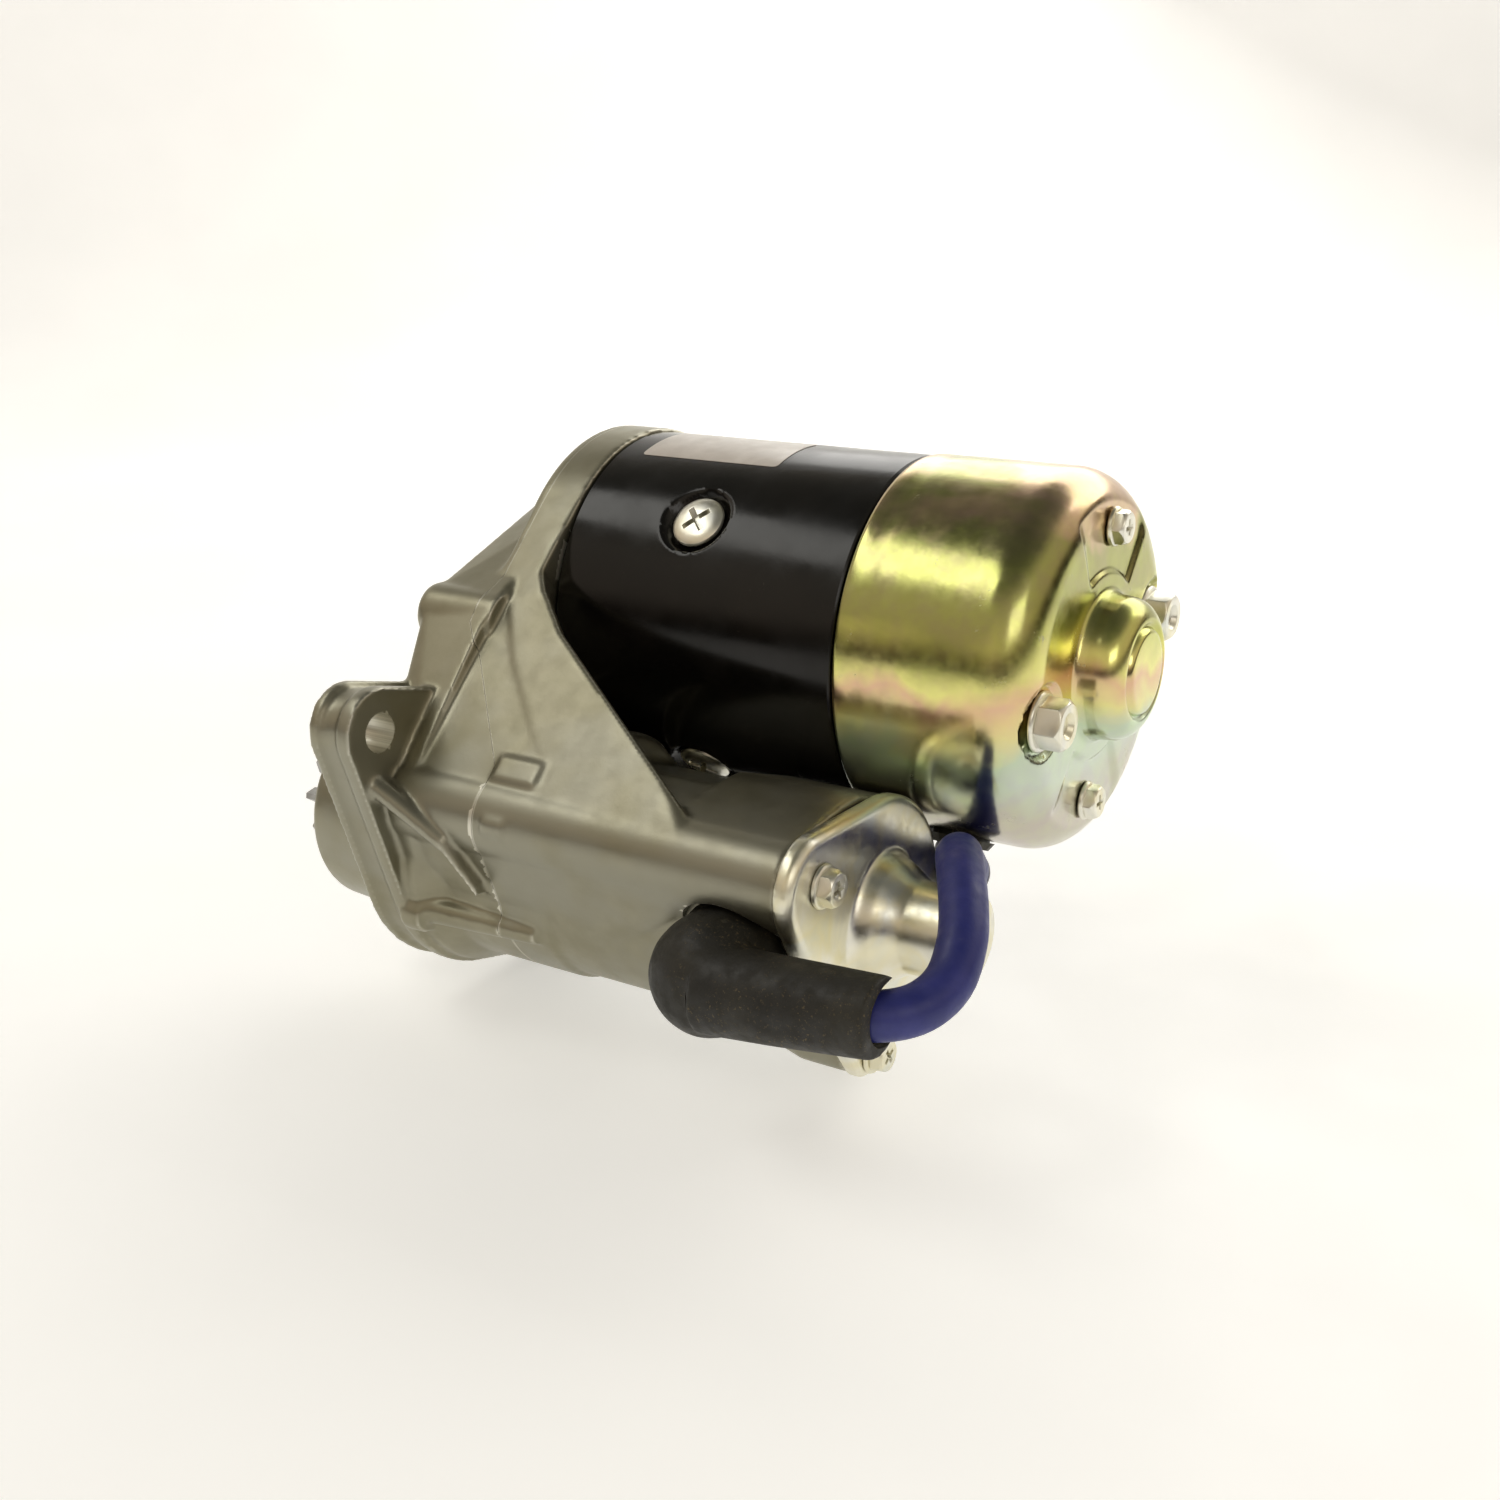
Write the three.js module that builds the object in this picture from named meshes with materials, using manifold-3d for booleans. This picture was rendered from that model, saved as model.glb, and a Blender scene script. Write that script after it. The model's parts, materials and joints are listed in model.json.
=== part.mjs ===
// Offset gear-reduction starter motor, 12 V, about 2.5 kW.
// Millimetres, +Z up. +X runs along the shafts from the pinion to the commutator end.
// The origin is on the pinion axis, in the plane of the mounting flange's front face.
import * as THREE from 'three';
import { ConvexGeometry } from 'three/addons/geometries/ConvexGeometry.js';
import { mergeVertices } from 'three/addons/utils/BufferGeometryUtils.js';
import Module from 'manifold-3d';

const wasm = await Module();
wasm.setup();

// ---- driving dimensions -------------------------------------------------------------------
const CENTRES = 72;                          // pinion axis to motor axis
const LEAN = THREE.MathUtils.degToRad(41.3); // direction from the pinion axis to the motor axis
const ALONG = [Math.cos(LEAN), Math.sin(LEAN)];
const MOTOR = [CENTRES * ALONG[0], CENTRES * ALONG[1]];
const PINION = [0, 0];

const JOINT_X = 13;          // drive housing meets switch housing, beside the motor
const SEAM_X = 37.5;          // the same joint, beside the solenoid
const LIP_X = 23.4;          // switch housing's rear face for the yoke
const YOKE_END = 99.8;       // yoke meets end cover
const COVER_X = 145;         // end cover's flat rear face
const YOKE_R = 43;
const YOKE_WALL = 3.4;
const COVER_R = 43.5;
const COVER_WALL = 2.2;
const CORNER_R = 11;         // end cover's drawn corner

const FLANGE_R = 34;
const EAR_R = 10.2;
const EAR_AT = [-37.0, 33.3];
const EAR_DEPTH = 12;
const MOUNT_HOLE_R = 4.5;
const BOSS_AT = [1.5, 51.3];
const BOSS_R = 7.5;

const BARREL_R = 28.2;       // solenoid barrel
const BARREL_BORE = 24.6;     // round the contacts
const COIL_BORE = 21.2;       // the barrel's narrower part, round the coil
const FLAT_ANGLE = 72;        // the barrel is flattened beside the yoke
const FLAT_AT = 22.2;
const BARREL_END = 115.5;
const RIDGE_AT = [-27, 15.5];
const RIDGE_R = 10;
const LOWER_LOBE = [-3, -30];
const FAR_LOBE = [26.9, -14.3];
const CAP_X = 120;           // solenoid cover's flat face
const CUP_END = 142.5;
const CUP_R = 10;

const MODULE = 1.5;
const ARMATURE_TEETH = 10;
const IDLER_TEETH = 25;
const CLUTCH_TEETH = 36;
const PINION_TEETH = 9;
const PINION_MODULE = 2.54;
const GEAR_X = [4.2, 12.2];
const PRESSURE = THREE.MathUtils.degToRad(20);
const IDLER_D = CENTRES - MODULE * (ARMATURE_TEETH + IDLER_TEETH) / 2;
const IDLER = [IDLER_D * ALONG[0], IDLER_D * ALONG[1]];

const BOLT_RING = 30.4;
const BOLT_ANGLES = [191, 11];
const BRUSH_SCREW_RING = 31;
const BRUSH_SCREW_ANGLES = [83, 263];
const COVER_SCREW_ANGLES = [148, 264.5, 332];
const COVER_SCREW_RING = 30.5;
const POLE_ANGLES = [47, 137, 227, 317];
const POLE_X = 57;
const TERMINAL_X = 101.5;
const TERMINAL_ANGLE = 184.5;
const BATTERY_ANGLE = 298;
const SWITCH_ANGLE = 335;
const LEAD_R = 5;
const LEAD_EXIT = 248;       // angle round the motor where the lead leaves the end cover
const LEAD_X = 119.5;
const GAP = 0.3;             // clearance between separate pieces

// ---- materials ----------------------------------------------------------------------------
const material = (color, roughness, metalness) =>
  new THREE.MeshStandardMaterial({ color, roughness, metalness });
const castAluminium = () => material(0x8b8873, 0.5, 0.9);
const blackPaint = () => material(0x0b0a08, 0.25, 0.0);
const yellowZinc = () => material(0xb9ad62, 0.3, 1.0);
const brightZinc = () => material(0xc9c6b4, 0.25, 1.0);
const steel = () => material(0x8e8f92, 0.35, 1.0);
const copper = () => material(0xb06a3c, 0.4, 1.0);
const rubber = () => material(0x24231a, 0.85, 0.0);
const blueCable = () => material(0x2a3170, 0.6, 0.0);
const carbon = () => material(0x2b2b2d, 0.7, 0.2);

// ---- shape helpers ------------------------------------------------------------------------
const rad = THREE.MathUtils.degToRad;
const polar = (r, degrees, [y, z] = [0, 0]) =>
  [y + r * Math.cos(rad(degrees)), z + r * Math.sin(rad(degrees))];

// Welds the corners, drops triangles of no area and turns the faces outward.
function weld(source) {
  let g = source.clone();
  g.deleteAttribute('normal');
  g.deleteAttribute('uv');
  g = mergeVertices(g, 1e-4);
  const p = g.getAttribute('position');
  const kept = [];
  let volume = 0;
  const a = new THREE.Vector3(), b = new THREE.Vector3(), c = new THREE.Vector3();
  for (let i = 0; i < g.index.count; i += 3) {
    const [u, v, w] = [g.index.getX(i), g.index.getX(i + 1), g.index.getX(i + 2)];
    if (u === v || v === w || w === u) continue;
    kept.push(u, v, w);
    a.fromBufferAttribute(p, u); b.fromBufferAttribute(p, v); c.fromBufferAttribute(p, w);
    volume += a.dot(b.clone().cross(c));
  }
  if (volume < 0) for (let i = 0; i < kept.length; i += 3) kept.splice(i, 3, kept[i], kept[i + 2], kept[i + 1]);
  g.setIndex(kept);
  return g;
}

function solid(geometry) {
  const g = weld(geometry);
  return new wasm.Manifold(new wasm.Mesh({
    numProp: 3,
    vertProperties: new Float32Array(g.getAttribute('position').array),
    triVerts: new Uint32Array(g.index.array),
  }));
}

function unsolid(shape) {
  const m = shape.getMesh();
  const points = new Float32Array(m.numVert * 3);
  for (let i = 0; i < m.numVert; i++) {
    for (let k = 0; k < 3; k++) points[3 * i + k] = m.vertProperties[i * m.numProp + k];
  }
  const g = new THREE.BufferGeometry();
  g.setAttribute('position', new THREE.BufferAttribute(points, 3));
  g.setIndex(new THREE.BufferAttribute(new Uint32Array(m.triVerts), 1));
  return g;
}

const union = (...shapes) => shapes.reduce((a, b) => a.add(b));
const TURN_LATHE = new THREE.Matrix4().makeBasis(
  new THREE.Vector3(0, 0, 1), new THREE.Vector3(1, 0, 0), new THREE.Vector3(0, 1, 0));
const TURN_PRISM = new THREE.Matrix4().makeBasis(
  new THREE.Vector3(0, 1, 0), new THREE.Vector3(0, 0, 1), new THREE.Vector3(1, 0, 0));

// A profile of [x, radius] pairs turned about a line along X through at = [y, z].
function turned(profile, at = [0, 0], segments = 16) {
  const points = profile.map(([x, r]) => new THREE.Vector2(r, x));
  const open = profile[0][1] > 0 || profile[profile.length - 1][1] > 0;
  if (open) points.push(points[0].clone());
  const g = new THREE.LatheGeometry(points, segments).applyMatrix4(TURN_LATHE);
  return solid(g.translate(0, at[0], at[1]));
}

const rod = (x0, x1, r, at, segments) => turned([[x0, 0], [x0, r], [x1, r], [x1, 0]], at, segments);
const tube = (x0, x1, outer, inner, at, segments) =>
  turned([[x0, inner], [x0, outer], [x1, outer], [x1, inner]], at, segments);

// A closed outline of [y, z] points pushed along X from x0 to x1.
function prism(outline, x0, x1) {
  const shape = new THREE.Shape(outline.map(([y, z]) => new THREE.Vector2(y, z)));
  const g = new THREE.ExtrudeGeometry(shape, { depth: x1 - x0, bevelEnabled: false });
  return solid(g.applyMatrix4(TURN_PRISM).translate(x0, 0, 0));
}

const ring = (x, [y, z], r, count = 16) => Array.from({ length: count }, (_, i) =>
  new THREE.Vector3(x, ...polar(r, 360 * i / count, [y, z])));
const wrap = (...rings) => solid(new ConvexGeometry(rings.flat()));
const box = (x0, x1, y0, y1, z0, z1) => solid(new THREE.BoxGeometry(x1 - x0, y1 - y0, z1 - z0)
  .translate((x0 + x1) / 2, (y0 + y1) / 2, (z0 + z1) / 2));

// Stands a solid built along +X straight out from the X axis, at the given angle and x.
// Its own Y then runs along the shafts.
function radial(shape, angle, x, [y, z] = [0, 0]) {
  const out = new THREE.Vector3(0, Math.cos(rad(angle)), Math.sin(rad(angle)));
  const shafts = new THREE.Vector3(1, 0, 0);
  const turn = new THREE.Matrix4().makeBasis(out, shafts, new THREE.Vector3().crossVectors(out, shafts));
  return solid(unsolid(shape).applyMatrix4(turn).translate(x, y, z));
}

// Turns a solid about the X axis by an angle in degrees.
const spun = (shape, degrees) => solid(unsolid(shape).rotateX(rad(degrees)));

function mesh(name, shape, mat) {
  const m = new THREE.Mesh(shape.isBufferGeometry ? weld(shape) : unsolid(shape), mat);
  m.name = name;
  return m;
}

// Involute spur gear outline with one tooth centred on the given direction.
function gearOutline(teeth, module, direction, flank = 3, backlash = 0.35) {
  const pitch = module * teeth / 2;
  const base = pitch * Math.cos(PRESSURE);
  const tip = pitch + 0.92 * module;
  const root = pitch - 1.2 * module;
  const inv = (a) => Math.tan(a) - a;
  const half = (r) => {
    const at = Math.acos(Math.min(1, base / Math.max(r, base)));
    return Math.PI / (2 * teeth) + inv(PRESSURE) - inv(at) - backlash / (2 * pitch);
  };
  const points = [];
  for (let i = 0; i < teeth; i++) {
    const centre = direction + 2 * Math.PI * i / teeth;
    const radii = Array.from({ length: flank }, (_, k) => root + (tip - root) * k / (flank - 1));
    radii.forEach((r) => points.push([r, centre - half(r)]));
    radii.reverse().forEach((r) => points.push([r, centre + half(r)]));
  }
  return points.map(([r, a]) => [r * Math.cos(a), r * Math.sin(a)]);
}

const shift = (outline, [y, z]) => outline.map(([a, b]) => [a + y, b + z]);

// ---- castings -----------------------------------------------------------------------------
// Far-side bosses mirror the near ones across the line that joins the two axes.
function mirrored([y, z]) {
  const d = y * ALONG[0] + z * ALONG[1];
  const h = -y * ALONG[1] + z * ALONG[0];
  return [d * ALONG[0] + h * ALONG[1], d * ALONG[1] - h * ALONG[0]];
}
const EARS = [EAR_AT, [-EAR_AT[0], -EAR_AT[1]]];
const BOSSES = [BOSS_AT, mirrored(BOSS_AT)];
const SHOULDER = polar(39.5, 160, MOTOR);   // where the side wall leaves the round flange

// A bent brace from the near ear down to the barrel, as [x, point, radius].
const BRACE = [[10, [-39.4, 22.8], 2.6], [14, polar(34, 160), 2.8], [24, polar(34, 173), 2.6],
  [33, polar(31, 188), 1.8]];

// The side wall's free edge, as (x, distance up the wall from the pinion axis's level).
const WALL_LEAN = 44.4;
const WALL_EDGE = [[LIP_X, 50], [26.8, 45.1], [37, 34.8], [90.2, -2.9]];
function beyondWall() {
  const line = [[LIP_X, 130], ...WALL_EDGE, [160, -52], [160, 130]];
  const shape = new THREE.Shape(line.map(([x, s]) => new THREE.Vector2(x, s)));
  const g = new THREE.ExtrudeGeometry(shape, { depth: 300, bevelEnabled: false }).translate(0, 0, -150);
  return solid(g.rotateX(THREE.MathUtils.degToRad(WALL_LEAN)));
}

// The joint between the two housings is flat beside the motor and steps back beside the solenoid.
function splitPiece(front) {
  const shiftX = front ? 0 : GAP;
  const far = front ? -80 : 200;
  const line = [[far, -120], [SEAM_X + shiftX, -120], [SEAM_X + shiftX, -3],
    [JOINT_X + shiftX, 30], [JOINT_X + shiftX, 160], [far, 160]];
  // Drawn as (x, distance along the line of centres), pushed across it.
  const shape = new THREE.Shape(line.map(([x, d]) => new THREE.Vector2(x, d)));
  const g = new THREE.ExtrudeGeometry(shape, { depth: 300, bevelEnabled: false }).translate(0, 0, -150);
  return solid(g.rotateX(LEAN));
}

function outerCasting() {
  const flange = wrap(ring(0, PINION, FLANGE_R, 20), ring(EAR_DEPTH - 1.5, PINION, FLANGE_R, 20),
    ...EARS.flatMap((e) => [ring(0, e, EAR_R, 16), ring(EAR_DEPTH, e, EAR_R, 16)]));
  const gearCase = wrap(ring(-3, MOTOR, 29), ring(JOINT_X + 4, MOTOR, 33),
    ...BOSSES.flatMap((b) => [ring(-3, b, BOSS_R - 1, 12), ring(JOINT_X + 4, b, BOSS_R, 12)]),
    ring(0.5, PINION, 30), ring(JOINT_X + 4, PINION, 30),
    ring(7, RIDGE_AT, RIDGE_R - 3, 12), ring(JOINT_X + 4, RIDGE_AT, RIDGE_R - 0.6, 12));
  const bosses = BOSSES.map((b) => turned(
    [[-5.4, 0], [-5.4, 5.6], [-4.8, 6.9], [-3.4, BOSS_R], [JOINT_X + 5, BOSS_R], [JOINT_X + 5, 0]], b, 12));
  const nose = turned([[-26, 0], [-26, 23.2], [-24.6, 24.6], [-3, 25.8], [2, 28], [2, 0]], PINION, 20);
  const neck = turned([[1, 0], [1, 32.6], [15, 32.6], [22, BARREL_R + 1], [50, BARREL_R + 1], [50, 0]],
    PINION, 20);
  const motorFlange = turned([[JOINT_X - 3, 0], [JOINT_X - 3, 42.6], [JOINT_X - 1.8, 43.8],
    [LIP_X, 43.8], [LIP_X, 0]], MOTOR, 26);
  const wall = wrap(ring(JOINT_X - 1.8, MOTOR, 43.8, 26), ring(LIP_X - 0.4, MOTOR, 43.8, 26),
    ring(JOINT_X - 1, SHOULDER, 7.6, 12), ring(LIP_X - 0.4, SHOULDER, 8.6, 12),
    ring(11, RIDGE_AT, RIDGE_R - 1, 12), ring(90, RIDGE_AT, RIDGE_R, 12),
    ring(11, PINION, BARREL_R), ring(60, PINION, BARREL_R));
  const hollow = wrap(ring(LIP_X - 0.2, MOTOR, 41.5), ring(LIP_X + 3, MOTOR, 41.5),
    ring(36, RIDGE_AT, RIDGE_R - 3.4, 12), ring(100, RIDGE_AT, RIDGE_R - 3.4, 12),
    ring(36, PINION, BARREL_R - 3), ring(100, PINION, BARREL_R - 3));
  const beside = (d, x0, x1) => spun(box(x0, x1, d, 70, -45, 45), FLAT_ANGLE);
  const besideYoke = union(beside(FLAT_AT, 50, 86), beside(BARREL_BORE + 1, 85, BARREL_END + 1));
  const barrel = rod(14, BARREL_END, BARREL_R, PINION, 20).subtract(besideYoke);
  const ridge = wrap(ring(13, RIDGE_AT, RIDGE_R - 0.8, 12), ring(BARREL_END, RIDGE_AT, RIDGE_R, 12),
    ring(13, [-6, 8], 20, 20), ring(BARREL_END, [-6, 8], 20, 20)).subtract(besideYoke);
  const lobes = [LOWER_LOBE, FAR_LOBE].map((at) => wrap(ring(92, at, 3, 12), ring(104, at, 6, 12),
    ring(BARREL_END, at, 6, 12), ring(88, PINION, 22), ring(BARREL_END, PINION, 22)));
  const braces = BRACE.slice(1).map((to, i) => wrap(...[BRACE[i], to].flatMap(([x, [y, z], r]) =>
    [ring(x, [y, z], r, 10), ring(x, [y * 0.72, z * 0.72], r, 10)])));
  braces.push(wrap(ring(10, polar(31, 200), 3.6, 12), ring(47, polar(28.8, 203), 2.4, 12)));
  const yokeRoom = rod(LIP_X, 200, YOKE_R + 0.6, MOTOR, 26);
  const walls = wall.subtract(hollow).subtract(beyondWall());
  return union(flange, gearCase, ...bosses, nose, neck, motorFlange, walls, barrel, ridge, ...lobes,
    ...braces).subtract(yokeRoom);
}

const casting = outerCasting();

function driveHousing() {
  const gears = wrap(ring(3.4, MOTOR, 12), ring(30, MOTOR, 12), ring(3.4, IDLER, 22),
    ring(30, IDLER, 22), ring(3.4, PINION, 29.2), ring(12.9, PINION, 29.2));
  const cuts = [gears, rod(5, SEAM_X + 1, 25.4, PINION, 20), rod(-30, 2, 17.2, PINION, 20),
    rod(-8.5, 5, 20.3, PINION, 20), rod(-1.2, 6, 4.3, IDLER, 12), rod(1, 6, 6.5, MOTOR, 12)];
  EARS.forEach((e) => cuts.push(rod(-5, 30, MOUNT_HOLE_R, e, 16)));
  BOSSES.forEach((b) => cuts.push(rod(-20, 40, 3.3, b, 12), rod(-20, 0.2, 6.3, b, 12)));
  return cuts.reduce((a, c) => a.subtract(c), casting.intersect(splitPiece(true)));
}

function switchHousing() {
  const cuts = [
    rod(0, 30, 9.6, MOTOR, 16), rod(14.6, 30, 14.3, MOTOR, 20), rod(10, 20, 4.3, IDLER, 16),
    rod(10, 38.4, 25.4, PINION, 24), rod(30, 50, 8, PINION, 24),
    rod(42, 90, COIL_BORE, PINION, 24), rod(88.5, 130, BARREL_BORE, PINION, 24),
  ];
  BOSSES.forEach((b) => cuts.push(rod(10, 20.5, 3.3, b, 12)));
  BOLT_ANGLES.forEach((a) => cuts.push(rod(15, 30, 3.3, polar(BOLT_RING, a, MOTOR), 12)));
  COVER_SCREW_ANGLES.forEach((a) => cuts.push(rod(106, 120, 2.4, polar(COVER_SCREW_RING, a), 10)));
  const terminals = [[TERMINAL_ANGLE, TERMINAL_X, 4.6, 14.2], [BATTERY_ANGLE, TERMINAL_X, 4.6, 10],
    [SWITCH_ANGLE, 80, 3.4, 6]];
  terminals.forEach(([a, x, hole, pad]) => {
    cuts.push(radial(rod(15, 40, hole, [0, 0], 12), a, x));
    cuts.push(radial(rod(BARREL_R + 0.1, 60, pad, [0, 0], 20), a, x));
  });
  return cuts.reduce((a, c) => a.subtract(c), casting.intersect(splitPiece(false)));
}

// ---- motor --------------------------------------------------------------------------------
function yoke() {
  let body = tube(LIP_X + GAP, YOKE_END - GAP, YOKE_R, YOKE_R - YOKE_WALL, [0, 0], 26);
  POLE_ANGLES.forEach((a) => {
    body = body.subtract(radial(rod(30, 50, 4.6, [0, 0], 12), a, POLE_X));
    body = body.subtract(radial(turned([[40.6, 0], [40.6, 6.6], [42.9, 9], [50, 9], [50, 0]], [0, 0], 14),
      a, POLE_X));
  });
  return body;
}

function arcBlock(inner, outer, halfAngle, x0, x1, steps = 8) {
  const outline = [];
  for (let i = 0; i <= steps; i++) outline.push(polar(outer, -halfAngle + 2 * halfAngle * i / steps));
  for (let i = steps; i >= 0; i--) outline.push(polar(inner, -halfAngle + 2 * halfAngle * i / steps));
  return prism(outline, x0, x1);
}

function poleShoe(angle) {
  const body = arcBlock(27.3, YOKE_R - YOKE_WALL - 0.5, 27, 31, 92, 10);
  const tapped = radial(rod(26, 45, 4.6, [0, 0], 12), 0, POLE_X);
  return spun(body.subtract(tapped), angle);
}

function fieldCoil(angle) {
  const body = arcBlock(34.6, YOKE_R - YOKE_WALL - 0.7, 42.5, 27, 96, 12);
  return spun(body.subtract(arcBlock(30, 42, 28, 30, 93, 8)), angle);
}

function poleScrew(angle) {
  const body = turned([[29, 0], [29, 4], [41, 4], [41.2, 6.2], [42.2, 7], [42.9, 6], [42.9, 0]],
    [0, 0], 14);
  return radial(body, angle, POLE_X);
}

function armatureShaft() {
  const gear = prism(gearOutline(ARMATURE_TEETH, MODULE, LEAN + Math.PI, 2), GEAR_X[0], GEAR_X[1] + 0.4);
  const shaft = turned([[1.6, 0], [1.6, 4.9], [GEAR_X[0] + 0.4, 4.9], [GEAR_X[1], 4.9], [GEAR_X[1], 5.6],
    [23.4, 5.6], [24, 7.6], [131, 7.6], [131.5, 5.6], [153, 5.6], [153, 0]], [0, 0], 24);
  return union(gear, shaft);
}

function armatureCore() {
  const outline = [];
  const slots = 12;
  for (let i = 0; i < slots; i++) {
    const a = 360 * i / slots;
    outline.push(polar(26.5, a - 12), polar(26.5, a), polar(26.5, a + 12), polar(24.2, a + 13),
      polar(24.2, a + 17));
  }
  return prism(outline, 34, 89).subtract(rod(30, 95, 7.9, [0, 0], 24));
}

const windingEnd = (x0, x1) => {
  const rise = x1 > x0 ? 1 : -1;
  return turned([[x0, 9], [x0, 24.4], [x0 + 3.5 * rise, 23.6], [x1, 16], [x1, 9]], [0, 0], 20);
};

function commutator() {
  const outline = [];
  const bars = 20;
  for (let i = 0; i < bars; i++) {
    const a = 360 * i / bars;
    outline.push(polar(17, a - 7.4), polar(17, a + 7.4), polar(16.3, a + 9));
  }
  return prism(outline, 102, 129.5).subtract(rod(100, 135, 7.9, [0, 0], 24));
}

function brushHolder() {
  let body = tube(131.6, 133.4, 38, 19, [0, 0], 24);
  for (let i = 0; i < 4; i++) {
    const guide = box(112, 132, 19.5, 32, -6.6, 6.6).subtract(box(110, 128.4, 17, 40, -5, 5));
    body = body.add(spun(guide, 45 + 90 * i));
  }
  BRUSH_SCREW_ANGLES.forEach((a) => {
    body = body.subtract(rod(120, 140, 2.4, polar(BRUSH_SCREW_RING, a), 10));
  });
  BOLT_ANGLES.forEach((a) => {
    body = body.subtract(rod(100, 140, 3.8, polar(BOLT_RING, a), 12));
  });
  return body;
}

const brush = (i) => spun(box(113, 127.8, 17.4, 30, -4.6, 4.6), 45 + 90 * i);

function endCover() {
  const profile = [[YOKE_END + GAP, COVER_R - COVER_WALL], [YOKE_END + GAP, COVER_R]];
  const steps = 3;
  const arc = (r, x, y) => {
    for (let i = 0; i <= steps; i++) {
      const a = Math.PI / 2 * i / steps;
      profile.push([x + r * Math.sin(a), y + r * Math.cos(a)]);
    }
  };
  arc(CORNER_R, COVER_X - CORNER_R, COVER_R - CORNER_R);
  profile.push([COVER_X, 18], [146, 16.6], [150.8, 16], [154, 14.4], [155.2, 12], [155.2, 10.6],
    [154.4, 10], [155.8, 9.2], [155.8, 0], [153.8, 0], [153.8, 9], [151.6, 13.2],
    [142.8, 13.4], [COVER_X - COVER_WALL, 15.2]);
  const inner = CORNER_R - COVER_WALL;
  for (let i = steps; i >= 0; i--) {
    const a = Math.PI / 2 * i / steps;
    profile.push([COVER_X - CORNER_R + inner * Math.sin(a), COVER_R - CORNER_R + inner * Math.cos(a)]);
  }
  let body = solid(latheFull(profile));
  BOLT_ANGLES.forEach((a) => {
    const at = polar(BOLT_RING, a);
    body = body.subtract(rod(143.4, 150, 8, at, 20)).subtract(rod(130, 150, 3.4, at, 12));
  });
  BRUSH_SCREW_ANGLES.forEach((a) => {
    body = body.subtract(rod(130, 150, 2.5, polar(BRUSH_SCREW_RING, a), 10));
  });
  return body.subtract(radial(rod(30, 60, 7.4, [0, 0], 14), LEAD_EXIT, LEAD_X));
}

// A turned cup whose profile reaches the axis in two places, outside and inside.
function latheFull(profile) {
  const first = profile.findIndex(([, r]) => r === 0);
  const ordered = [...profile.slice(first + 1), ...profile.slice(0, first + 1)];
  const points = ordered.map(([x, r]) => new THREE.Vector2(r, x));
  return new THREE.LatheGeometry(points, 26).applyMatrix4(TURN_LATHE);
}

function hexBolt(seat, across, headHeight, shankR, tipX, washerR, at, recess = true) {
  const hex = Array.from({ length: 6 }, (_, i) => polar(across / Math.sqrt(3), 60 * i + 12, at));
  let body = union(prism(hex, seat + 1.2, seat + 1.2 + headHeight), rod(seat + 0.2, seat + 1.5, washerR, at, 20),
    rod(tipX, seat + 1, shankR, at, 12));
  if (recess) body = body.subtract(rod(seat + headHeight - 0.2, seat + headHeight + 5, across * 0.3, at, 12));
  return body;
}

function crossScrew(seat, headR, headHeight, shankR, tipX, at) {
  const head = turned([[tipX, 0], [tipX, shankR], [seat + 0.2, shankR], [seat + 0.2, headR],
    [seat + headHeight * 0.6, headR], [seat + headHeight, headR * 0.72], [seat + headHeight, 0]], at, 12);
  return head;
}

// ---- motor lead ---------------------------------------------------------------------------
function leadRoute() {
  const inside = polar(35, LEAD_EXIT, MOTOR);
  const outside = polar(COVER_R + 3.4, LEAD_EXIT, MOTOR);
  return [
    [LEAD_X, ...inside], [LEAD_X + 0.2, ...outside], [123.6, 32.2, 1.4], [128.4, 23, 5.4], [132.6, 11, 12.8],
    [136.6, 2, 16.9], [141, -6, 16.9], [146.2, -15, 13.2], [149.4, -22, 9.3], [150.4, -29.5, 4.0],
    [148.2, -36.5, 1.2], [143.2, -41.8, 0.2], [133, -43.9, -0.6], [TERMINAL_X + 12, -44.2, -2.6],
  ].map((p) => new THREE.Vector3(...p));
}

function motorLead() {
  const path = new THREE.CatmullRomCurve3(leadRoute(), false, 'centripetal');
  const circle = new THREE.Shape(ring(0, [0, 0], LEAD_R, 10).map((v) => new THREE.Vector2(v.y, v.z)));
  const cable = solid(new THREE.ExtrudeGeometry(circle,
    { steps: 26, extrudePath: path, bevelEnabled: false }));
  const lug = box(TERMINAL_X - 6, TERMINAL_X + 15, -43.6, -41.4, -7.8, 1.2)
    .subtract(radial(rod(30, 60, 4.4, [0, 0], 12), TERMINAL_ANGLE, TERMINAL_X));
  return union(cable, lug);
}

function leadGrommet() {
  const body = turned([[37, LEAD_R + 0.8], [37, 8.6], [39.4, 8.6], [39.4, 7], [43.9, 7], [43.9, 8.2],
    [45.8, 7], [45.8, LEAD_R + 0.8]], [0, 0], 14);
  return radial(body, LEAD_EXIT, LEAD_X, MOTOR);
}

function terminalBoot() {
  const cap = radial(turned([[28.8, 0], [28.8, 13.4], [31, 13], [32, 12.3], [43, 12.4], [46.5, 11.2],
    [49.2, 8], [50.4, 3.5], [50.6, 0]], [0, 0], 20), TERMINAL_ANGLE, TERMINAL_X);
  const sleeve = wrap(ring(TERMINAL_X + 3, [-43, -3.3], 9.4, 14), ring(TERMINAL_X + 20, [-43.9, -1.6], 8.8, 14),
    ring(143.5, [-43, 0.2], 8.2, 14));
  const cavity = radial(turned([[26, 0], [26, 9.6], [43, 9.4], [47, 7], [47.8, 0]], [0, 0], 16),
    TERMINAL_ANGLE, TERMINAL_X);
  const bore = wrap(ring(TERMINAL_X + 2, [-44, -3.3], 6.6, 12), ring(133, [-43.9, -0.6], 6.2, 12),
    ring(150, [-39.5, 0.8], 6.8, 12));
  return union(cap, sleeve).subtract(cavity).subtract(bore);
}

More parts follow.
